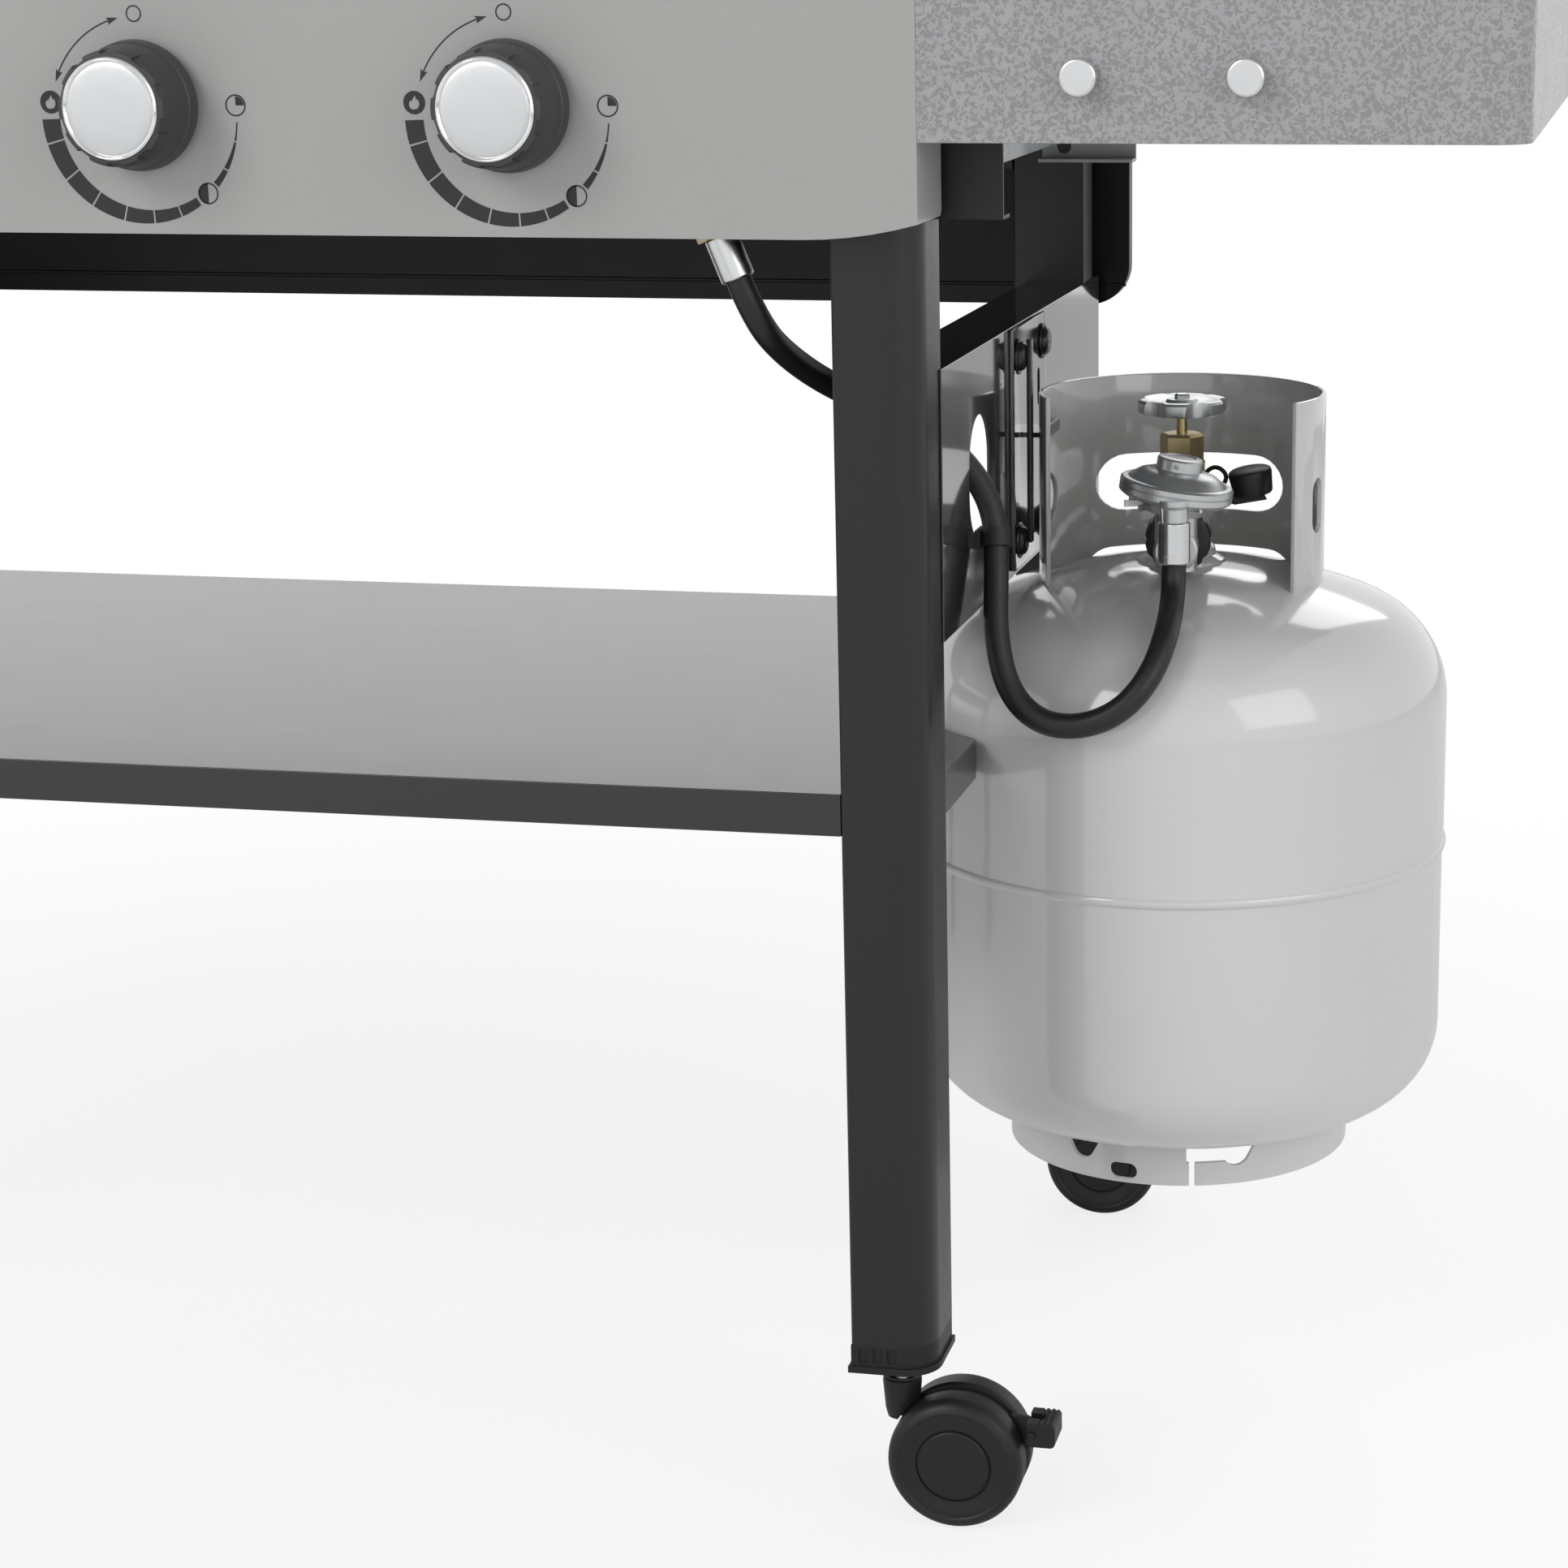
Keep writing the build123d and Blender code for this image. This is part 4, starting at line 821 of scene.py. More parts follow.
@dataclass
class Studio:
    """The pale floor, the soft lights and the camera, which stands to the right of the grill."""

    side: float
    front: float
    eye: Point = (0.38248, -1.6834, 0.86637)
    turn: float = 0.2091
    dip: float = 0.2498
    roll: float = -0.0101
    focal: float = 2.17526
    film: float = 36.0
    shift: float = -0.12
    floor_size: float = 12.0
    floor_colour: Colour = (0.92, 0.92, 0.92)
    world_strength: float = 0.78
    zenith_fall: float = 0.5
    floor_glow: float = 0.8
    floor_fades: tuple[float, float] = (0.5, 1.7)
    dome_fades: tuple[float, float] = (0.3, 0.95)
    lit: Point = (0.2, 0.0, 0.5)

    def camera(self) -> None:
        """Stand the camera at its eye, turned, dipped and rolled by its angles in radians."""
        right = Vector((math.cos(self.turn), math.sin(self.turn), 0))
        level = Vector((-math.sin(self.turn), math.cos(self.turn), 0)) * math.cos(self.dip)
        ahead = level + Vector((0, 0, -math.sin(self.dip)))
        over = right.cross(ahead)
        across = right * math.cos(self.roll) + over * math.sin(self.roll)
        above = over * math.cos(self.roll) - right * math.sin(self.roll)
        data = bpy.data.cameras.new("camera")
        data.sensor_width, data.lens, data.shift_x = self.film, self.film * self.focal, self.shift
        camera = bpy.data.objects.new("camera", data)
        bpy.context.scene.collection.objects.link(camera)
        place = Matrix.Translation(Vector(self.eye) + Vector((self.side, self.front, 0)))
        camera.matrix_world = place @ Matrix((across, above, -ahead)).transposed().to_4x4()
        bpy.context.scene.camera = camera

    def floor(self) -> None:
        """A pale floor that fades to white away from the grill."""
        deselect()
        bpy.ops.mesh.primitive_plane_add(size=self.floor_size, location=(0, 0, 0))
        plane = bpy.context.object
        plane.name = "floor"
        made = bpy.data.materials.new("floor")
        made.use_nodes = True
        tree = Tree(made.node_tree)
        reach = tree.node("ShaderNodeVectorMath", {"operation": "LENGTH"}, {0: tree.place()}, 1)
        matt = tree.node("ShaderNodeBsdfDiffuse", {}, {"Color": (*self.floor_colour, 1.0)})
        glow = tree.node("ShaderNodeEmission", {}, {"Color": (1.0, 1.0, 1.0, 1.0), "Strength": 1.0})
        path = tree.node("ShaderNodeLightPath", {}, {}, "Is Camera Ray")
        fade = (self.floor_glow + reach.smooth(*self.floor_fades) * (1.0 - self.floor_glow)) * path
        mixed = tree.node("ShaderNodeMixShader", {}, {0: fade, 1: matt, 2: glow})
        tree.node("ShaderNodeOutputMaterial", {}, {"Surface": mixed})
        plane.data.materials.append(made)

    def world(self) -> None:
        """An even white world that shows as white behind the grill and in gloss."""
        made = bpy.data.worlds.new("studio")
        made.use_nodes = True
        bpy.context.scene.world = made
        tree = Tree(made.node_tree)
        rays = ("Is Camera Ray", "Is Glossy Ray", "Is Transmission Ray")
        path = [tree.node("ShaderNodeLightPath", {}, {}, name) for name in rays]
        seen = (path[0] + path[1] + path[2]).clamp()
        direction = tree.node("ShaderNodeTexCoord", {}, {}, "Generated")
        up = tree.node("ShaderNodeSeparateXYZ", {}, {0: direction}, "Z")
        dome = 1.0 - up.smooth(*self.dome_fades) * self.zenith_fall * (1 - path[0])
        level = (seen + (1 - seen) * self.world_strength) * dome
        back = tree.node("ShaderNodeBackground", {}, {"Color": (1.0, 1.0, 1.0, 1.0), "Strength": level})
        tree.node("ShaderNodeOutputWorld", {}, {"Surface": back})

    def lamp(self, name: str, at: Point, size: float, power: float) -> None:
        """A soft square lamp that faces the middle of the grill.

        Args:
            name: The lamp's name.
            at: Where it hangs.
            size: The length of its side.
            power: Its power in watts.
        """
        data = bpy.data.lights.new(name, "AREA")
        data.shape, data.size, data.energy = "SQUARE", size, power
        lamp = bpy.data.objects.new(name, data)
        bpy.context.scene.collection.objects.link(lamp)
        aim = Vector(self.lit) - Vector(at)
        lamp.matrix_world = Matrix.Translation(at) @ aim.to_track_quat("-Z", "Y").to_matrix().to_4x4()

    def build(self) -> None:
        """Set the whole studio up."""
        view = bpy.context.scene.view_settings
        view.view_transform = "Standard"
        self.camera()
        self.floor()
        self.world()
        self.lamp("key", (-1.4, -2.6, 2.6), 1.6, 42.0)
        self.lamp("fill", (2.8, -1.8, 1.8), 1.8, 18.0)
        self.lamp("back", (0.6, 2.8, 2.4), 1.8, 20.0)


# ---- Hose --------------------------------------------------------------------------------------


@dataclass
class GasHose:
    """The rubber hose from the manifold, round the leg and up to the regulator."""

    frame: Frame
    radius: float = 7.0 * MM
    length: float = 0.507
    route: tuple[Point, ...] = (
        (-98.025, 16.0, 685.66),
        (-89.035, 16.0, 663.408),
        (-80.0, 44.0, 642.0),
        (-62.0, 74.0, 622.0),
        (-36.0, 108.0, 604.0),
        (-8.0, 131.0, 580.0),
        (10.0, 139.0, 550.0),
        (13.0, 129.0, 516.0),
        (15.0, 113.0, 483.0),
        (24.0, 102.0, 454.0),
        (42.0, 97.0, 438.0),
        (65.0, 97.0, 436.0),
        (87.0, 100.0, 445.0),
        (102.0, 110.0, 463.0),
        (108.0, 130.0, 484.0),
        (105.544, 168.337, 498.0),
        (105.544, 168.337, 515.0),
    )

    def points(self) -> list[Vector]:
        """The route's corners, in the row frame."""
        corner = Vector((self.frame.high("leg_front_right").x, self.frame.low("leg_front_right").y, 0))
        return [corner + Vector(point) * MM for point in self.route]

    def build(self) -> bpy.types.Object:
        points = self.points()
        hose = cord("gas_hose", points, self.radius, 3, 5, 10)
        hose.data.materials.append(RUBBER.material())
        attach(hose, "root")
        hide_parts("hose")
        2 * self.radius
        LOG.info("gas_hose: %d points", len(points))
        return hose


# ---- Control panel -----------------------------------------------------------------------------


@dataclass
class BurnerDials:
    """The flame scale round each knob: off, high, a band that thins out, medium and low.

    Sizes are in millimetres and places round the dial in degrees.
    """

    frame: Frame
    knobs: tuple[str, ...]
    radius: float = 51.6
    drop: float = 5.6
    ink: float = 0.12
    line: float = 0.75
    band_from: float = 181.5
    band_to: float = 357.0
    band_width: float = 9.9
    band_least: float = 0.7
    band_taper: float = 1.74
    gaps: tuple[float, ...] = (195.0, 216.0, 235.5, 255.0, 272.8, 289.3, 303.0, 317.0, 328.3, 345.5)
    gap_half: float = 0.5
    high_at: float = 172.3
    medium_at: float = 310.2
    low_at: float = 6.0
    off_at: float = 91.8
    arrow_from: float = 102.0
    arrow_to: float = 160.0
    arrow_head: float = 6.0
    arrow_wing: float = 1.9
    off_r: float = 3.9
    mark_r: float = 5.2
    high_r: float = 5.9
    low_r: float = 4.6
    flame_shape: tuple[tuple[float, float], ...] = (
        (-0.3, -3.4), (1.7, -3.0), (2.7, -1.2), (2.5, 0.6), (1.5, 2.0), (1.3, 0.7), (0.5, 3.6),
        (-0.9, 1.4), (-1.5, 0.3), (-1.9, 1.3), (-2.8, -0.4), (-2.6, -2.0), (-1.6, -3.2))

    def spot(self, middle: Vector, radius: float, degrees: float) -> Vector:
        """A point on the panel, round a dial's middle."""
        turn = math.radians(degrees)
        return middle + Vector((math.cos(turn), 0, math.sin(turn))) * radius * MM

    def width(self, degrees: float) -> float:
        """The band's width at an angle."""
        share = (degrees - self.band_from) / (self.band_to - self.band_from)
        return max(self.band_least, self.band_width * (1 - share**self.band_taper))

    def patch(self, outline: Sequence[Vector], lift: float = 0.0) -> bpy.types.Object:
        """A thin patch of ink.

        Args:
            outline: Its corners, on the panel.
            lift: How far it lies over the first layer.

        Returns:
            The patch.
        """
        rise = Vector((0, (self.ink + lift) * MM, 0))
        return cut_out("ink", [point - rise for point in outline], rise)

    def stripe(self, middle: Vector, radius: float, turns: Sequence[float],
               width: Callable[[float], float]) -> bpy.types.Object:
        """A patch along part of a circle.

        Args:
            middle: The dial's middle.
            radius: The circle's radius.
            turns: The angles that it passes through.
            width: Its width at an angle.

        Returns:
            The patch.
        """
        outer = [self.spot(middle, radius + width(turn) / 2, turn) for turn in turns]
        inner = [self.spot(middle, radius - width(turn) / 2, turn) for turn in reversed(turns)]
        return self.patch(outer + inner)

    def band(self, middle: Vector, start: float, end: float) -> bpy.types.Object:
        """One stretch of the tapered band."""
        steps = max(2, round((end - start) / 3))
        return self.stripe(middle, self.radius, spread(start, end, steps), self.width)

    def ring(self, middle: Vector, radius: float) -> bpy.types.Object:
        """A thin printed ring."""
        inner, outer = radius - self.line / 2, radius + self.line / 2
        profile = [(inner, 0), (outer, 0), (outer, self.ink), (inner, self.ink), (inner, 0)]
        return turned("ink", profile, middle, TO_FRONT, 40)

    def slice(self, middle: Vector, radius: float, start: float, end: float) -> bpy.types.Object:
        """A filled part of a disc.

        Args:
            middle: The disc's middle.
            radius: Its radius.
            start: The angle at which it starts.
            end: The angle at which it ends; a full turn fills the disc.

        Returns:
            The patch.
        """
        steps = max(4, round((end - start) / 12))
        edge = [self.spot(middle, radius, turn) for turn in spread(start, end, steps)]
        whole = end - start >= 360
        return self.patch(edge[:-1] if whole else [middle] + edge)

    def arrow(self, middle: Vector) -> list[bpy.types.Object]:
        """A curved arrow with a head at each end."""
        head, wing, radius = self.arrow_head, self.arrow_wing, self.radius - 1.0
        turns = spread(self.arrow_from + head, self.arrow_to - head, 14)
        parts = [self.stripe(middle, radius, turns, lambda turn: self.line)]
        for tip, back in ((self.arrow_from, head + 1), (self.arrow_to, -head - 1)):
            parts.append(self.patch([
                self.spot(middle, radius, tip),
                self.spot(middle, radius + wing, tip + back),
                self.spot(middle, radius, tip + back * 0.86),
                self.spot(middle, radius - wing, tip + back),
            ]))
        return parts

    def flame(self, middle: Vector) -> bpy.types.Object:
        """A small flame left in the panel's colour inside the high mark."""
        return self.patch([middle + Vector((x, 0, z)) * MM for x, z in self.flame_shape], self.ink)

    def dial(self, knob: str) -> tuple[list[bpy.types.Object], bpy.types.Object]:
        """Everything printed round one knob.

        Args:
            knob: A node on the knob's axis.

        Returns:
            The patches of ink, and the flame.
        """
        axis = self.frame.middle(knob)
        middle = Vector((axis.x, self.frame.low("control_panel").y, axis.z - self.drop * MM))
        edges = [self.band_from, *self.gaps, self.band_to]
        parts = [self.band(middle, start + self.gap_half, end - self.gap_half)
                 for start, end in zip(edges, edges[1:]) if not start < self.medium_at < end]
        places = (self.high_at, self.medium_at, self.low_at, self.off_at)
        high, medium, low, off = (self.spot(middle, self.radius, place) for place in places)
        parts += self.arrow(middle)
        parts += [self.ring(off, self.off_r), self.ring(medium, self.mark_r), self.ring(low, self.mark_r)]
        parts += [self.slice(high, self.high_r, 0, 360), self.slice(medium, self.mark_r, 90, 270)]
        parts.append(self.slice(low, self.low_r, 0, 90))
        return parts, self.flame(high)

    def build(self) -> None:
        """Print every dial as one layer of ink, and the flames as another."""
        ink, flames = [], []
        for knob in self.knobs:
            parts, flame = self.dial(knob)
            ink += parts
            flames.append(flame)
        clothed(joined("dial_prints", ink), INK, "plastic_black", "root")
        clothed(joined("dial_flames", flames), PANEL_PAINT, "panel_grey", "root")


@dataclass
class BurnerKnob:
    """A push-and-turn knob: a notched grey grip, a bright bezel and a plain satin disc.

    Sizes are in millimetres.
    """

    frame: Frame
    name: str
    back_r: float = 33.4
    front_r: float = 29.4
    hollow_r: float = 28.5
    step_z: tuple[float, float] = (8.0, 16.0)
    step: float = 0.7
    bezel_r: float = 25.9
    face_r: float = 23.6
    cap: float = 3.0
    notches: int = 10
    notch_width: float = 7.6
    notch_depth: float = 2.6
    notch_length: float = 17.0

    def grip(self, name: str, back: Vector, length: float) -> bpy.types.Object:
        """The turned grip with its notches cut from the front edge.

        Args:
            name: The piece's name.
            back: Where the knob's axis meets its back.
            length: The grip's length in millimetres.

        Returns:
            The grip.
        """
        slope = (self.back_r - self.front_r) / length
        first, second = (self.back_r - slope * z for z in self.step_z)
        profile = [
            (self.hollow_r, 0.6), (self.back_r - 1.2, 0.0), (self.back_r - 0.3, 0.4), (self.back_r, 1.4),
            (first, self.step_z[0]), (first - self.step, self.step_z[0] + self.step),
            (second - self.step, self.step_z[1]), (self.front_r - 0.2, length - 2.2),
            (self.front_r - 0.9, length - 0.7), (self.front_r - 2.0, length),
            (self.bezel_r, length), (self.bezel_r, length - 2.0), (0.0, length - 2.0),
        ]
        grip = turned(name, profile, back, TO_FRONT, 80)
        near = back + Vector((0, -length - 1.0, 0)) * MM
        far = back + Vector((0, self.notch_length - length, 0)) * MM
        floor, top = (self.front_r - self.notch_depth) * MM, (self.front_r + 8.0) * MM
        end = (self.front_r + slope * self.notch_length + 0.1) * MM
        cutters = []
        for i in range(self.notches):
            turn = 2 * math.pi * (i + 0.5) / self.notches
            out = Vector((math.cos(turn), 0, math.sin(turn)))
            half = Vector((-math.sin(turn), 0, math.cos(turn))) * (self.notch_width * MM / 2)
            deep = [near + out * floor, near + out * top, far + out * top, far + out * end]
            cutters.append(cut_out("notch", [point - half for point in deep], half * 2))
        carved(grip, joined("notches", cutters))
        return round_edges(grip, 0.45 * MM, 2, 28.0)

    def build(self) -> None:
        """Build the grip, the bezel and the disc on the knob's axis."""
        node, body = f"knob_{self.name}", f"knob_{self.name}_body"
        axis, low, high = self.frame.middle(node), self.frame.low(node), self.frame.high(node)
        back = Vector((axis.x, high.y, axis.z))
        length = (high.y - low.y) / MM - self.cap
        clothed(self.grip(f"{node}_grip", back, length), KNOB_MOULD, "knob_plastic", body, node)
        face, bezel = self.face_r, self.bezel_r
        ring = [(face - 0.4, length - 1.9), (bezel, length - 1.9), (bezel, length + 0.8),
                (bezel - 0.4, length + 1.5), (bezel - 1.2, length + 1.9), (face + 0.3, length + 1.5),
                (face - 0.4, length + 0.6), (face - 0.4, length - 1.9)]
        clothed(turned(f"{node}_bezel", ring, back, TO_FRONT, 96), BEZEL_CHROME, "cap_silver", body)
        edge, rise = length + 1.3, (self.cap - 1.5) / 2
        disc = [(face, length - 1.5), (face, length + 0.7), (face - 0.7, edge)]
        disc += [(face * math.cos(turn) * 0.96, edge + rise * math.sin(turn))
                 for turn in [i * math.pi / 16 for i in range(1, 8)]]
        disc.append((0.0, edge + rise))
        clothed(turned(f"{node}_face", disc, back, TO_FRONT, 96), CAP_METAL, "cap_silver", body)


# ---- Gas bottle --------------------------------------------------------------------------------


@dataclass(frozen=True)
class CollarHole:
    """One round-ended hole in the bottle's collar, in degrees and millimetres."""

    turn: float
    bottom: float
    top: float
    width: float
    start_r: float = 40.0
    reach: float = 60.0

    def cutter(self, foot: Vector) -> bpy.types.Object:
        """The hole as a bar that reaches out through the wall.

        Args:
            foot: The foot of the bottle's axis.

        Returns:
            The bar.
        """
        out, side = spokes(self.turn)
        tall, up = self.top - self.bottom, Vector(UP)
        lengthways, across = (up, side) if tall > self.width else (side, up)
        ease = min(self.width, tall) / 2
        flat = max(self.width, tall) / 2 - ease
        loop = [(end * flat + ease * math.cos(turn), ease * math.sin(turn))
                for end, first in ((1, -90), (-1, 90))
                for turn in [math.radians(first + 15 * i) for i in range(13)]]
        middle = foot + (out * self.start_r + up * (self.bottom + self.top) / 2) * MM
        outline = [middle + (lengthways * u + across * v) * MM for u, v in loop]
        return cut_out("hole", outline, out * self.reach * MM)


@dataclass
class Bottle:
    """The painted steel bottle: a lapped shell with a weld, its valve, its wheel and its dust cap.

    Sizes are in millimetres from the bottle's foot.
    """

    frame: Frame
    radius: float = 156.0
    foot_z: float = 148.0
    wall_low: float = 76.0
    wall_high: float = 272.0
    crown: float = 80.0
    crown_knuckle: float = 62.0
    belly: float = 57.0
    belly_knuckle: float = 48.0
    seam: float = 186.0
    lap: float = 0.7
    outlet_turn: float = 6.0
    outlet_z: float = 371.0
    nut_z: float = 410.0
    wheel_z: float = 437.0
    wheel_lobes: int = 6
    collar_r: float = 83.0
    collar_wall: float = 2.6
    collar_low: float = 328.0
    collar_open: float = 120.0
    collar_holes: tuple[CollarHole, ...] = (
        CollarHole(94.0, 368.0, 402.0, 112.0),
        CollarHole(94.0, 318.0, 346.0, 124.0),
        CollarHole(180.0, 368.5, 400.0, 44.0),
        CollarHole(-12.0, 372.0, 404.0, 16.0),
    )

    def at(self, x: float = 0.0, y: float = 0.0, z: float = 0.0) -> Vector:
        """A point given in millimetres from the foot of the bottle's axis."""
        middle = self.frame.middle("gas_tank")
        return Vector((middle.x, middle.y, self.foot_z * MM)) + Vector((x, y, z)) * MM

    def ahead(self) -> Vector:
        """The direction in which the outlet points."""
        turn = math.radians(self.outlet_turn)
        return Vector((math.sin(turn), -math.cos(turn), 0))

    @staticmethod
    def head(radius: float, rise: float, knuckle: float, steps: int = 12) -> list[tuple[float, float]]:
        """A dished end: a knuckle that runs into a crown.

        Args:
            radius: The wall's radius.
            rise: The end's height over the wall.
            knuckle: The knuckle's radius.
            steps: Segments along each of the two arcs.

        Returns:
            Radius and height from the rim to the middle.
        """
        reach, over = radius - knuckle, rise - knuckle
        drop = (reach**2 - over**2) / (2 * over)
        turn = math.pi / 2 - math.atan2(reach, drop)
        crown = drop + rise
        edge = [(reach + knuckle * math.cos(t), knuckle * math.sin(t)) for t in spread(0, turn, steps)]
        rest = [(crown * math.cos(t), crown * math.sin(t) - drop)
                for t in spread(turn, math.pi / 2, steps)[1:]]
        return edge + rest

    def dome(self) -> list[tuple[float, float]]:
        """The outline of the shell's top, from the wall to the axis."""
        return [(x, z + self.wall_high) for x, z in self.head(self.radius, self.crown, self.crown_knuckle)]

    def shell(self) -> None:
        """Upper half lapped over the lower, with a proud weld bead along the lap."""
        upper, lower, seam = self.radius, self.radius - self.lap, self.seam
        belly = [(x, self.wall_low - z) for x, z in self.head(lower, self.belly, self.belly_knuckle)]
        bead = [(lower, seam - 5.0), (lower + 0.1, seam - 3.2), (upper + 0.5, seam - 2.4),
                (upper + 1.3, seam - 1.0), (upper + 1.4, seam + 0.4), (upper + 0.9, seam + 1.8),
                (upper + 0.1, seam + 2.6), (upper, seam + 4.0)]
        lower_wall = [(lower, z) for z in spread(self.wall_low, seam, 4)[1:-1]]
        upper_wall = [(upper, z) for z in spread(seam, self.wall_high, 4)[1:-1]]
        profile = [*reversed(belly), *lower_wall, *bead, *upper_wall, *self.dome()]
        shell = turned("bottle_shell", profile, self.at(), UP, 160)
        clothed(smooth(shell, 50.0), TANK_PAINT, "tank_white", "bottle", "gas_tank")

    def neck(self) -> None:
        """The welded boss under the valve, in the shell's paint, and its fillet weld."""
        top = self.wall_high + self.crown
        profile = [(27.0, top - 2.8), (25.5, top + 0.6), (22.5, top + 2.4), (20.4, top + 3.2),
                   (19.8, top + 7.0), (18.6, top + 8.2), (15.5, top + 8.6), (14.2, top + 8.6)]
        clothed(turned("neck_boss", profile, self.at(), UP, 64), TANK_PAINT, "tank_white", "bottle")

    def handwheel(self) -> None:
        """A cast star wheel with a dished face, a raised hub and a screw."""
        profile = [(0.0, -2.0), (9.0, -2.0), (12.0, -0.4), (23.0, 0.0), (25.4, 1.0), (26.0, 2.4),
                   (26.0, 7.0), (25.0, 8.4), (22.6, 8.8), (20.0, 7.8), (12.0, 6.6), (9.6, 6.8),
                   (8.6, 8.6), (0.0, 8.8)]
        foot = self.at(z=self.wheel_z)
        wheel = turned("handwheel_star", profile, foot, UP, 72)
        bite = [(0.0, 0.0), (11.5, 0.0), (9.5, 14.0), (0.0, 14.0)]
        bites = []
        for i in range(self.wheel_lobes):
            out, _ = spokes(360.0 * i / self.wheel_lobes)
            bites.append(turned("bite", bite, foot + (out * 31.5 - Vector((0, 0, 4.0))) * MM, UP, 32))
        carved(wheel, joined("bites", bites))
        clothed(round_edges(wheel, 0.6 * MM, 2, 32.0), DIE_CAST, "die_cast", "handwheel", "valve_handwheel")
        screw = [(0.0, 11.4), (3.6, 11.4), (4.4, 10.6), (4.4, 8.4), (0.0, 8.4)]
        hexagon = turned("handwheel_nut", screw, foot, UP, 6)
        clothed(smooth(hexagon, 20.0), BRIGHT_STEEL, "steel_bright", "handwheel")

    def valve(self) -> None:
        """The brass body with its hexagon, its packing nut and its relief valve."""
        top, nut_z, ahead = self.wall_high + self.crown + 8.0, self.nut_z, self.ahead()
        body = [(14.0, top - 1.0), (14.0, top + 8.0), (12.0, top + 9.5), (12.0, top + 26.0),
                (13.6, top + 28.0), (13.6, nut_z - 1.0), (12.8, nut_z)]
        nut = [(12.8, nut_z - 0.5), (12.8, nut_z + 14.0), (11.4, nut_z + 15.6), (3.2, nut_z + 15.6)]
        stem = [(3.1, nut_z + 15.0), (3.1, nut_z + 35.0), (0.0, nut_z + 35.0)]
        spout = [(10.6, 6.0), (10.6, 24.0), (8.0, 26.0), (8.0, 49.0), (0.0, 49.0)]
        relief = [(6.6, 8.0), (6.6, 17.0), (5.6, 18.5), (0.0, 18.5)]
        parts = [
            turned("valve_body", body, self.at(), UP, 48),
            smooth(turned("packing_nut", nut, self.at(), UP, 6), 20.0),
            turned("stem", stem, self.at(), UP, 24),
            turned("spout", spout, self.at(z=self.outlet_z), ahead, 40),
            turned("relief", relief, self.at(z=self.outlet_z + 6.0), -ahead, 6),
        ]
        clothed(joined("valve_brass", parts), BRASS, "brass", "bottle", "tank_valve")

    def dust_cap(self) -> None:
        """The black outlet cap that hangs on its strap to the right of the valve."""
        hang, lean = self.at(43.0, -18.0, 401.0), (-0.16, -0.1, 1.0)
        cap = [(9.0, -7.0), (10.8, -7.0), (11.4, -6.0), (12.6, 5.0), (12.2, 6.6), (11.0, 7.4), (0.0, 7.4)]
        inner = [(9.0, -7.0), (9.0, 4.0), (0.0, 4.0)]
        parts = [turned("cap", cap, hang, lean, 40), turned("cap_inside", inner, hang, lean, 40)]
        tongue = [(15.0, -21.0, 402.0), (33.0, -24.0, 397.0), (50.0, -21.0, 395.0),
                  (52.0, -20.0, 391.0), (34.0, -23.0, 388.0), (22.0, -23.0, 392.0)]
        flat = cut_out("tongue", [self.at(*point) for point in tongue], Vector((0.4, 1.8, 0.0)) * MM)
        parts.append(round_edges(flat, 0.4 * MM))
        route = [(12.5, -4.0, 400.0), (18.0, -10.0, 409.0), (27.0, -16.0, 408.0),
                 (30.0, -19.0, 401.0), (24.0, -21.0, 396.0), (17.0, -21.0, 397.0)]
        strap = cord("strap", [self.at(*point) for point in route], 1.3 * MM, 4, 3, 8)
        deselect()
        strap.select_set(True)
        bpy.context.view_layer.objects.active = strap
        bpy.ops.object.convert(target="MESH")
        parts.append(bpy.context.object)
        ring = [(13.2, -2.0), (15.0, -2.0), (15.0, 2.0), (13.2, 2.0), (13.2, -2.0)]
        parts.append(turned("strap_ring", ring, self.at(z=398.0), (0.1, -0.1, 1.0), 40))
        clothed(joined("dust_cap", parts), NYLON, "plastic_black", "bottle")

    def collar(self) -> None:
        """The collar round the valve: its mouth in front, a hand hole and a drain gap behind, a slot."""
        outer, wall, low = self.collar_r, self.collar_wall, self.collar_low
        inner, high = outer - wall, self.frame.high("tank_collar").z / MM - self.foot_z
        profile = [(inner, low), (outer, low), (outer, high - 1.2), (outer - 0.4, high - 0.3),
                   (outer - wall / 2, high), (inner + 0.4, high - 0.3), (inner, high - 1.2), (inner, low)]
        collar = turned("collar", profile, self.at(), UP, 120)
        facing, half, below = self.outlet_turn - 97.0, self.collar_open / 2, self.at(z=300.0)
        mouth = [below] + [below + spokes(turn)[0] * reach * MM for turn, reach in (
            (facing - half, 200.0), (facing, 300.0), (facing + half, 200.0))]
        cutters = [cut_out("mouth", mouth, Vector((0, 0, 200.0)) * MM)]
        cutters += [hole.cutter(self.at()) for hole in self.collar_holes]
        dome = [(0.0, 200.0), (self.radius, 200.0), *self.dome()]
        cutters.append(turned("dome", dome, self.at(), UP, 96))
        for cutter in cutters:
            carved(collar, cutter)
        clothed(round_edges(collar, 0.5 * MM, 2, 40.0), COLLAR_PAINT, self.frame.slots["tank_collar"],
                "bottle", "tank_collar")

    def build(self) -> None:
        """Build every piece of the bottle."""
        self.shell()
        self.neck()
        self.valve()
        self.handwheel()
        self.dust_cap()
        self.frame.refined("foot_ring", TANK_PAINT, 0.8 * MM, 3)
        self.collar()


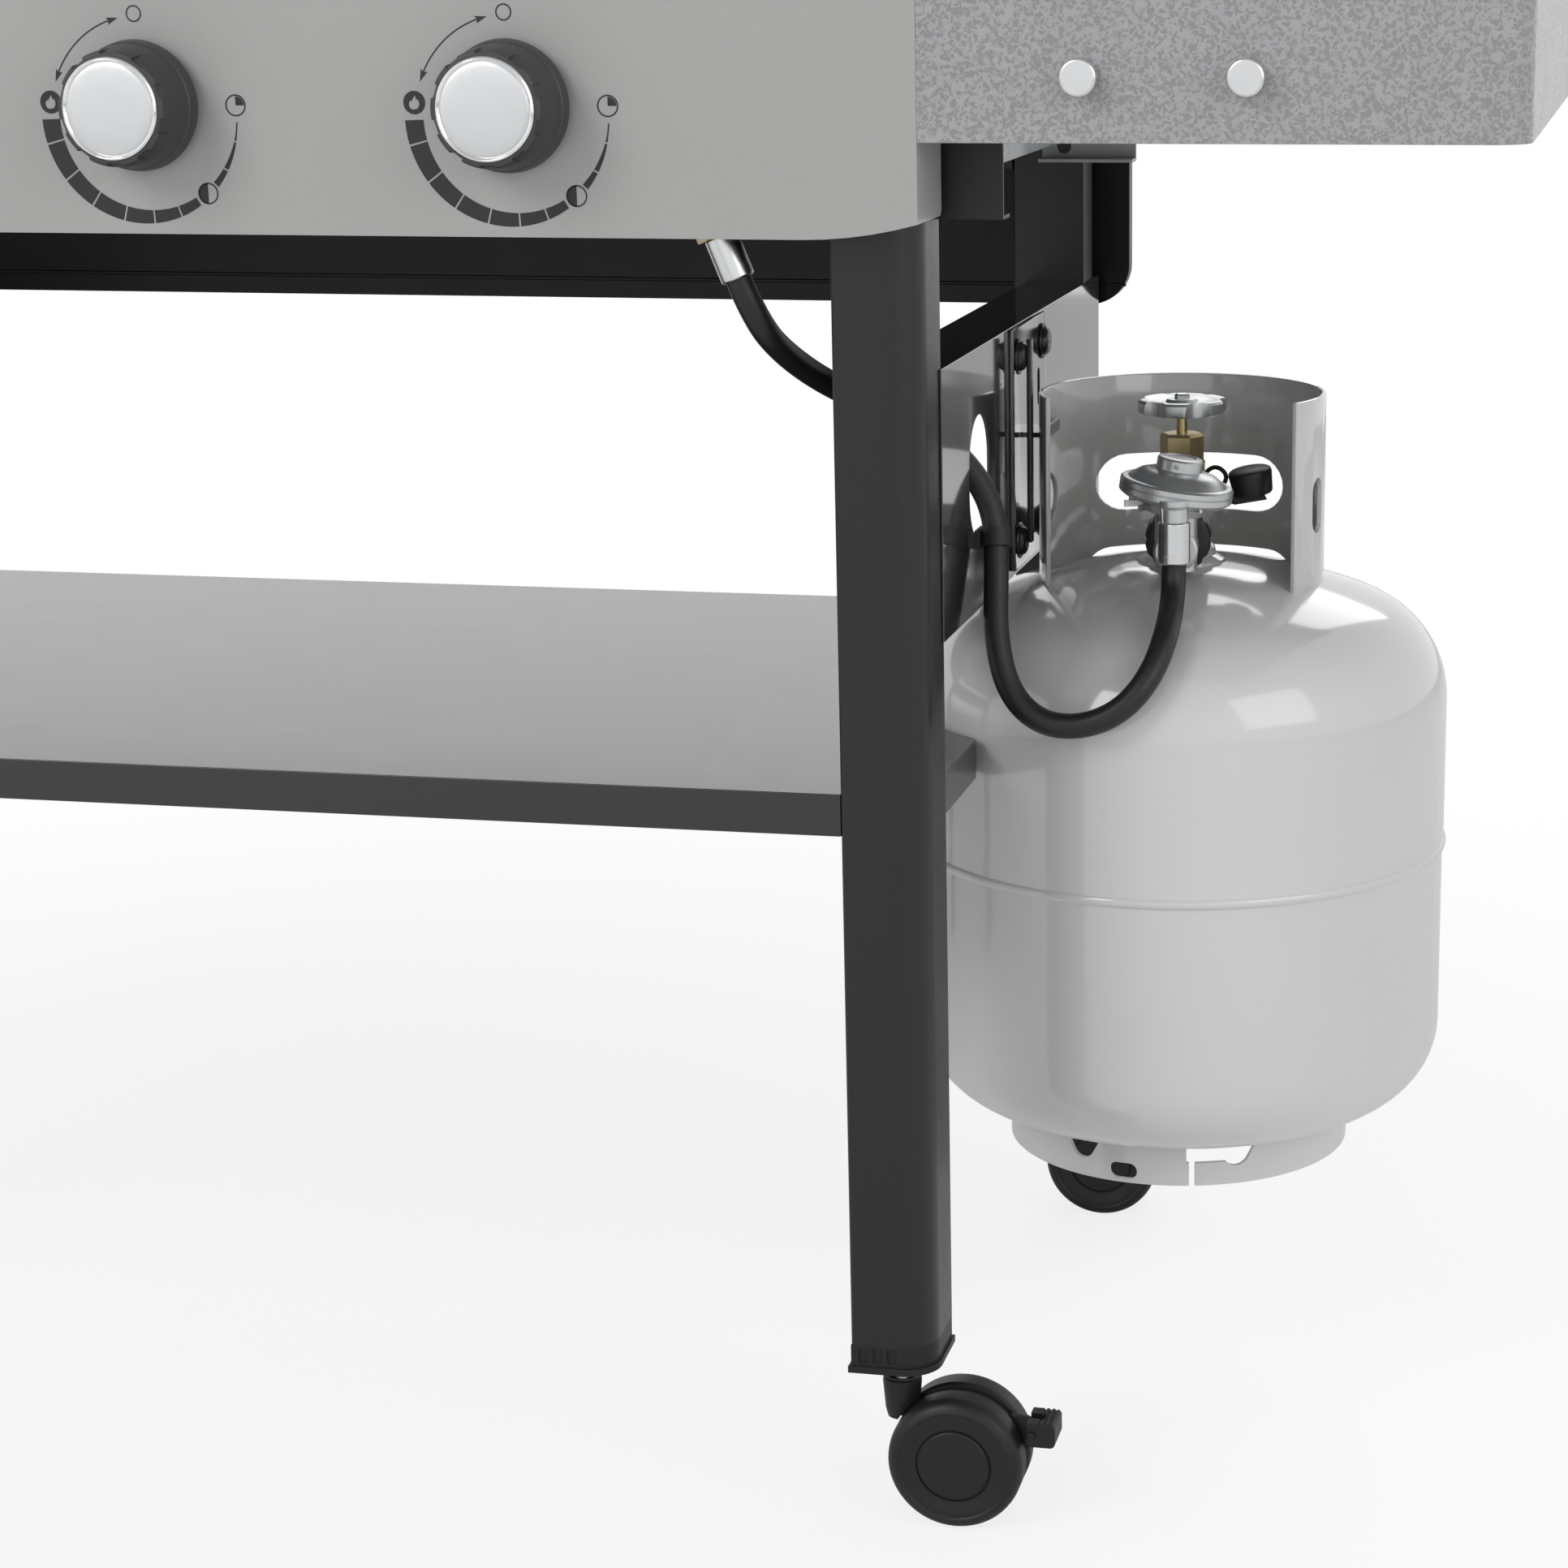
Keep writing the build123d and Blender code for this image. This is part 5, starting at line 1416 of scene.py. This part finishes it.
@dataclass
class Regulator:
    """The die-cast regulator: a flanged drum with a vented cap, an outlet boss and the black hand nut.

    Sizes are in millimetres.
    """

    frame: Frame
    bottle: Bottle
    reach: float = 72.0
    height: float = 405.0
    radius: float = 32.0
    lean: float = 8.5
    ribs: int = 10
    rib_half: float = 0.9
    nut_reach: float = 26.5
    lobes: int = 10

    def middle(self) -> Vector:
        """The middle of the drum."""
        return self.bottle.at(z=self.height) + self.bottle.ahead() * self.reach * MM

    def drum(self) -> bpy.types.Object:
        """The two halves of the drum, clamped at a stepped flange, and the capped spring tower."""
        r = self.radius
        profile = [
            (0.0, -14.0), (15.0, -14.0), (17.5, -13.2), (20.5, -8.6), (24.0, -7.0), (28.6, -6.2),
            (r - 0.6, -4.4), (r, -3.6), (r, -0.5), (r - 0.7, -0.2), (r - 0.7, 0.2), (r, 0.5), (r, 3.0),
            (r - 1.2, 4.0), (28.0, 4.2), (26.2, 5.6), (22.0, 8.6), (17.6, 10.0), (14.0, 10.4),
            (13.0, 11.0), (13.0, 16.6), (12.2, 17.6), (9.0, 18.0), (8.6, 17.4), (0.0, 17.4),
        ]
        lean = math.radians(self.lean)
        drum = turned("drum", profile, self.middle(), (math.sin(lean), 0, math.cos(lean)), 72)
        hole = [(0.0, 0.0), (1.5, 0.0), (1.5, 8.0), (0.0, 8.0)]
        mouth = self.middle() + Vector((2.0, -17.0, 14.0)) * MM
        return carved(drum, turned("vent", hole, mouth, (0, 1, 0), 16))

    def ports(self) -> list[bpy.types.Object]:
        """The outlet over the hose's ferrule, the inlet behind and the post between them."""
        ferrule = self.frame.middle("ferrule_regulator")
        port = Vector((ferrule.x, ferrule.y, self.frame.high("ferrule_regulator").z))
        outlet = [(0.0, 0.0), (8.0, 0.0), (8.0, 7.0), (9.4, 9.0), (9.4, 12.0), (0.0, 12.0)]
        inlet = [(0.0, -22.0), (11.0, -22.0), (11.0, -12.0), (12.5, -10.0), (12.5, 9.0), (11.0, 11.0),
                 (0.0, 11.0)]
        low = self.middle() + Vector((0, 0, self.bottle.outlet_z - self.height)) * MM
        return [
            turned("outlet", outlet, port, UP, 32),
            turned("inlet", inlet, low, self.bottle.ahead(), 36),
            turned("post", [(12.0, -12.0), (12.0, 22.0)], low, UP, 36),
        ]

    def bracket(self) -> list[bpy.types.Object]:
        """The tapered plate on the drum's front and its rivet."""
        ahead = self.bottle.ahead()
        side, up = Vector((-ahead.y, ahead.x, 0)), Vector(UP)
        front = self.middle() + ahead * (self.radius - 3.0) * MM
        corners = ((-7.0, -3.0), (7.0, -3.0), (6.0, -20.0), (-6.0, -20.0))
        plate = [front + (side * across + up * rise) * MM for across, rise in corners]
        rivet = [(4.4, 0.0), (4.4, 1.0), (3.4, 1.8), (0.0, 2.2)]
        return [
            cut_out("bracket", plate, ahead * 2.4 * MM),
            turned("rivet", rivet, front + (ahead * 2.2 - up * 11.0) * MM, ahead, 28),
        ]

    def rib(self, degrees: float) -> bpy.types.Object:
        """One rib under the drum.

        Args:
            degrees: The angle at which it points.

        Returns:
            The rib.
        """
        out, across = spokes(degrees)
        foot, half = self.middle() - Vector((0, 0, 6.0)) * MM, across * self.rib_half
        corners = (out * 16.0 - half, out * 29.5 - half, out * 29.5 + half, out * 16.0 + half)
        return cut_out("rib", [foot + corner * MM for corner in corners], Vector((0, 0, -3.6)) * MM)

    def nut(self) -> None:
        """The black coupling nut with finger lobes."""
        ahead, up = self.bottle.ahead(), Vector(UP)
        side = ahead.cross(up)
        start = self.bottle.at(z=self.bottle.outlet_z) + ahead * self.nut_reach * MM
        profile = [(8.1, 0.0), (16.4, 0.0), (18.4, 1.4), (18.9, 3.0), (18.9, 19.0), (18.0, 21.6),
                   (15.0, 23.0), (8.1, 23.0), (8.1, 0.0)]
        nut = turned("hand_nut", profile, start, ahead, 80)
        bite = [(0.0, 0.0), (3.0, 0.0), (3.0, 26.0), (0.0, 26.0)]
        bites = []
        for i in range(self.lobes):
            turn = math.pi * 2 * i / self.lobes
            spot = start + ((side * math.cos(turn) + up * math.sin(turn)) * 20.6 - ahead) * MM
            bites.append(turned("bite", bite, spot, ahead, 16))
        carved(nut, joined("bites", bites))
        clothed(round_edges(nut, 0.5 * MM, 2, 32.0), NYLON, "plastic_black", "nut", "coupling_nut")

    def build(self) -> None:
        """Build the regulator and the nut that couples it."""
        ribs = [self.rib(360.0 * (i + 0.5) / self.ribs) for i in range(self.ribs)]
        body = joined("regulator_body", [self.drum(), *self.ports(), *self.bracket(), *ribs])
        clothed(smooth(body, 32.0), DIE_CAST, "die_cast", "bottle", "regulator")
        self.nut()


# ---- Cart --------------------------------------------------------------------------------------


def two_tone(obj: bpy.types.Object, finish: Finish,
             chosen: Callable[[bmesh.types.BMFace], bool]) -> bpy.types.Object:
    """Dress the chosen faces of a dressed piece in a second finish.

    Args:
        obj: The piece.
        finish: The second finish.
        chosen: The test that a face has to pass.

    Returns:
        The piece.
    """
    obj.data.materials.append(finish.material())
    edit(obj)
    pick_faces(chosen)
    obj.active_material_index = 1
    bpy.ops.object.material_slot_assign()
    close()
    return obj


@dataclass
class Caster:
    """A twin-wheel caster: a ball-topped stem in a cup, a stepped housing and two moulded wheels.

    Sizes are in millimetres.
    """

    frame: Frame
    corner: str
    trail: float = 33.0
    radius: float = 38.0
    half_gap: float = 3.5
    cup_top: float = 10.0
    cup_depth: float = 24.0
    wheel_clearance: float = 0.4
    arch_top: float = 35.4
    arch_floor: float = -12.0

    def foot(self) -> Vector:
        """The point on the stem's axis at the leg plug's underside."""
        middle = self.frame.middle(f"leg_{self.corner}")
        return Vector((middle.x, middle.y, self.frame.low("leg_plugs").z))

    def axle(self) -> Vector:
        """The middle of the wheels' axle."""
        foot = self.foot()
        return Vector((foot.x + self.trail * MM, foot.y, self.radius * MM))

    def wheels(self) -> None:
        """Two wheels with a rounded tread, a stepped face and a flat hub cap in a thin groove."""
        r, axle = self.radius, self.axle()
        profile = [(4.2, 0.0), (r - 4.0, 0.0), (r - 1.2, 0.8), (r, 2.6), (r, 12.0), (r - 0.4, 14.6),
                   (r - 1.6, 17.0), (r - 3.6, 18.9), (r - 6.2, 19.9), (r - 6.9, 19.6), (r - 7.4, 19.2),
                   (26.6, 19.0), (25.0, 18.2), (21.4, 17.8), (20.9, 17.0), (20.3, 17.0), (20.0, 18.3),
                   (19.4, 18.7), (0.0, 18.9)]
        parts = []
        for side in (-1, 1):
            face = axle + Vector((0, side * self.half_gap, 0)) * MM
            parts.append(turned("wheel", profile, face, (0, side, 0), 72))
        rod = [(0.0, -6.0), (3.9, -6.0), (3.9, 6.0), (0.0, 6.0)]
        parts.append(turned("axle", rod, axle, (0, 1, 0), 20))
        wheels = smooth(joined(f"twin_wheels_{self.corner}", parts), 32.0)
        node = f"wheels_{self.corner}"
        clothed(wheels, WHEEL_MOULD, self.frame.slots[node], self.frame.body(node), node)

    def housing(self) -> bpy.types.Object:
        """The stepped arch between the wheels and the arm that carries the brake."""
        axle, top = self.axle(), self.arch_top
        profile = [(4.4, -3.0), (30.0, -3.0), (30.4, -2.4), (top - 0.8, -2.4), (top, -1.6), (top, 1.6),
                   (top - 0.8, 2.4), (30.4, 2.4), (30.0, 3.0), (4.4, 3.0), (4.4, -3.0)]
        arch = turned("arch", profile, axle, (0, 1, 0), 72)
        carved(arch, brick("below", axle + Vector((-50.0, -10.0, -50.0)) * MM,
                           axle + Vector((50.0, 10.0, self.arch_floor)) * MM, 0.5 * MM))
        if not self.corner.startswith("front"):
            return arch
        outline = [(28.0, 24.0), (38.0, 23.0), (43.8, 19.8), (43.8, 11.5), (36.0, 2.0), (33.0, -6.0),
                   (28.0, -4.0)]
        arm = cut_out("arm", [axle + Vector((x, -2.6, z)) * MM for x, z in outline],
                      Vector((0, 5.2, 0)) * MM)
        pin = [(0.0, -12.0), (2.2, -12.0), (2.2, 12.0), (0.0, 12.0)]
        hinge = turned("pin", pin, axle + Vector((42.0, 0, 17.0)) * MM, (0, 1, 0), 16)
        return joined("arch", [arch, round_edges(arm, 0.5 * MM), hinge])

    def cup(self) -> bpy.types.Object:
        """The cup round the stem, cleared for both wheels."""
        top, floor, rim = -self.cup_top, -self.cup_top - self.cup_depth, self.radius + 1.0
        profile = [(0.0, top - 9.0), (5.2, top - 9.0), (7.6, top - 1.2), (8.4, top - 0.2), (9.8, top),
                   (10.7, top - 1.0), (10.9, top - 3.0), (9.6, top - self.cup_depth * 0.8),
                   (8.4, floor), (0.0, floor)]
        cup = turned("cup", profile, self.foot(), UP, 48)
        room = [(0.0, 0.0), (rim, 0.0), (rim, 24.0), (0.0, 24.0)]
        for side in (-1, 1):
            face = self.axle() + Vector((0, side * (self.half_gap - self.wheel_clearance), 0)) * MM
            carved(cup, turned("clear", room, face, (0, side, 0), 72))
        return cup

    def build(self) -> None:
        """Build the wheels, the housing with its cup, and the bright stem."""
        node, top = f"caster_{self.corner}", -self.cup_top
        self.wheels()
        shell = smooth(joined(f"housing_{self.corner}", [self.cup(), self.housing()]), 32.0)
        clothed(shell, NYLON, self.frame.slots[node], self.frame.body(node), node)
        stem = [(0.0, top - 9.4), (3.6, top - 9.0), (5.2, top - 5.6), (5.4, top - 3.2), (4.6, top - 0.6),
                (4.2, top + 1.0), (4.6, top + 2.6), (4.6, 3.0), (0.0, 3.0)]
        clothed(turned(f"stem_{self.corner}", stem, self.foot(), UP, 40), BRIGHT_STEEL, "steel_bright",
                self.frame.body(node))


@dataclass
class CartPanels:
    """The two-toned painted sheet: the hook plate with its bolts, and the shelf brackets.

    Sizes are in millimetres.
    """

    frame: Frame
    sheet: float = 3.0
    bolt_reach: float = 10.5
    bolt_y: float = 37.0
    bolt_z: float = 53.5
    flange_y: float = 49.0
    flange_width: float = 4.5
    lever_lift: float = 5.2

    def flange(self, side: int, face: float) -> bpy.types.Object:
        """What is cut from the hook plate's edge, so that a thin flat sheet is left.

        Args:
            side: -1 for the front edge, 1 for the rear one.
            face: Where the sheet's outer face lies along X.

        Returns:
            The cutter.
        """
        low, high = self.frame.low("tank_bracket"), self.frame.high("tank_bracket")
        edge = (low.y + high.y) / 2 + side * self.flange_y * MM
        ends = sorted((edge, edge - side * self.flange_width * MM))
        return brick("flange", (face, ends[0], low.z - 0.01), (face + 0.02, ends[1], high.z + 0.01),
                     0.1 * MM, 1)

    def hook_plate(self) -> None:
        """The light hook plate, its four black round-head bolts and the black lever between them."""
        plate = self.frame.refined("tank_bracket", GUARD_ENAMEL, 0.4 * MM)
        middle = self.frame.middle("tank_bracket")
        face = self.frame.low("tank_bracket").x + self.sheet * MM
        for side in (-1, 1):
            carved(plate, self.flange(side, face))
        spots = [(middle.y + row * self.bolt_y * MM, middle.z + tier * self.bolt_z * MM)
                 for row in (-1, 1) for tier in (-1, 1)]

        def on_bolt(part: bmesh.types.BMFace) -> bool:
            """Whether a face belongs to one of the bolts' heads."""
            centre = part.calc_center_median()
            return centre.x > face + 0.1 * MM and any(
                math.hypot(centre.y - y, centre.z - z) < self.bolt_reach * MM for y, z in spots)

        two_tone(plate, BOLT_BLACK, on_bolt)
        washer = [(0.0, 0.2), (10.4, 0.2), (10.6, 0.8), (10.2, 1.5), (0.0, 1.6)]
        parts = [turned("washer", washer, (face, y, z), (1, 0, 0), 40) for y, z in spots]
        start = Vector((face, *spots[1])) + Vector((self.lever_lift, 1.0, 10.0)) * MM
        parts.append(brick("lever", start + Vector((0.0, -3.0, -118.0)) * MM,
                           start + Vector((3.0, 3.0, 0.0)) * MM, 0.8 * MM))
        for spot in spots:
            head = Vector((face, *spot))
            parts.append(brick("slot", head + Vector((4.2, -4.0, -0.7)) * MM,
                               head + Vector((5.3, 4.0, 0.7)) * MM, 0.2 * MM))
        clothed(joined("hook_bolts", parts), BOLT_BLACK, self.frame.slots["tank_bracket"],
                self.frame.body("tank_bracket"))

    def brackets(self) -> None:
        """The shelf brackets: the rear pair pale like the panel, the front pair black."""
        middle = self.frame.middle("shelf_brackets").y
        brackets = self.frame.refined("shelf_brackets", PANEL_PAINT, 0.4 * MM)
        two_tone(brackets, EDGE_BLACK, lambda face: face.calc_center_median().y < middle)

    def build(self) -> None:
        """Build every piece of two-toned sheet."""
        self.hook_plate()
        self.brackets()


# ---- Everything else that keeps its CAD form ---------------------------------------------------

EASED: dict[str, tuple[Finish, float]] = {
    "leg_": (LEG_COAT, 0.0),
    "frame_rails": (LEG_COAT, 0.6),
    "bottom_shelf": (SHELF_ENAMEL, 0.5),
    "side_panel_": (GUARD_ENAMEL, 0.4),
    "control_panel": (PANEL_PAINT, 0.4),
    "cook_box": (BOX_PAINT, 0.4),
    "rear_panel": (REAR_ENAMEL, 0.4),
    "side_shelf_": (HAMMER_PAINT, 0.4),
    "tool_pegs": (BRIGHT_STEEL, 0.3),
    "lid_handle": (STAINLESS, 0.3),
    "handle_posts": (NYLON, 0.8),
    "lid": (LID_ENAMEL, 0.4),
    "hinge_": (LEG_COAT, 0.3),
    "grate_": (IRON, 0.8),
    "burner_tubes": (STAINLESS, 0.2),
    "flame_tamers": (STAINLESS, 0.3),
    "grease_tray": (STAINLESS, 0.3),
    "manifold": (BRIGHT_STEEL, 0.3),
    "gas_valves": (BRASS, 0.4),
    "gas_inlet": (BRASS, 0.4),
    "valve_stem_": (BRIGHT_STEEL, 0.2),
    "ferrule_": (BRIGHT_STEEL, 0.2),
    "temperature_gauge": (STAINLESS, 0.3),
    "gauge_needle": (NYLON, 0.1),
    "leg_plugs": (NYLON, 0.3),
    "hose_clip": (NYLON, 0.4),
    "brake_tab_": (NYLON, 0.4),
}


def dress_the_rest(frame: Frame) -> None:
    """Ease and dress every CAD node that no finer piece stands for.

    Args:
        frame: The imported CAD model.
    """
    for node in sorted(frame.nodes):
        if frame.nodes[node].hide_render:
            continue
        start = max((key for key in EASED if node.startswith(key)), key=len)
        finish, bevel = EASED[start]
        frame.refined(node, finish, bevel * MM)


def main() -> None:
    """Build the studio and every sub-assembly in order."""
    logging.basicConfig(level=logging.INFO, format="%(message)s")
    for obj in list(bpy.data.objects):
        bpy.data.objects.remove(obj)
    frame = Frame.loaded()
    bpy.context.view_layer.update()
    Studio(frame.high("leg_front_right").x, frame.low("leg_front_right").y).build()
    GasHose(frame).build()
    names = ("left", "inner_left", "inner_right", "right")
    BurnerDials(frame, tuple(f"valve_stem_{name}" for name in names)).build()
    for name in names:
        BurnerKnob(frame, name).build()
    bottle = Bottle(frame)
    bottle.build()
    Regulator(frame, bottle).build()
    for corner in ("front_left", "front_right", "rear_left", "rear_right"):
        Caster(frame, corner).build()
    CartPanels(frame).build()
    dress_the_rest(frame)


if __name__ == "__main__":
    main()
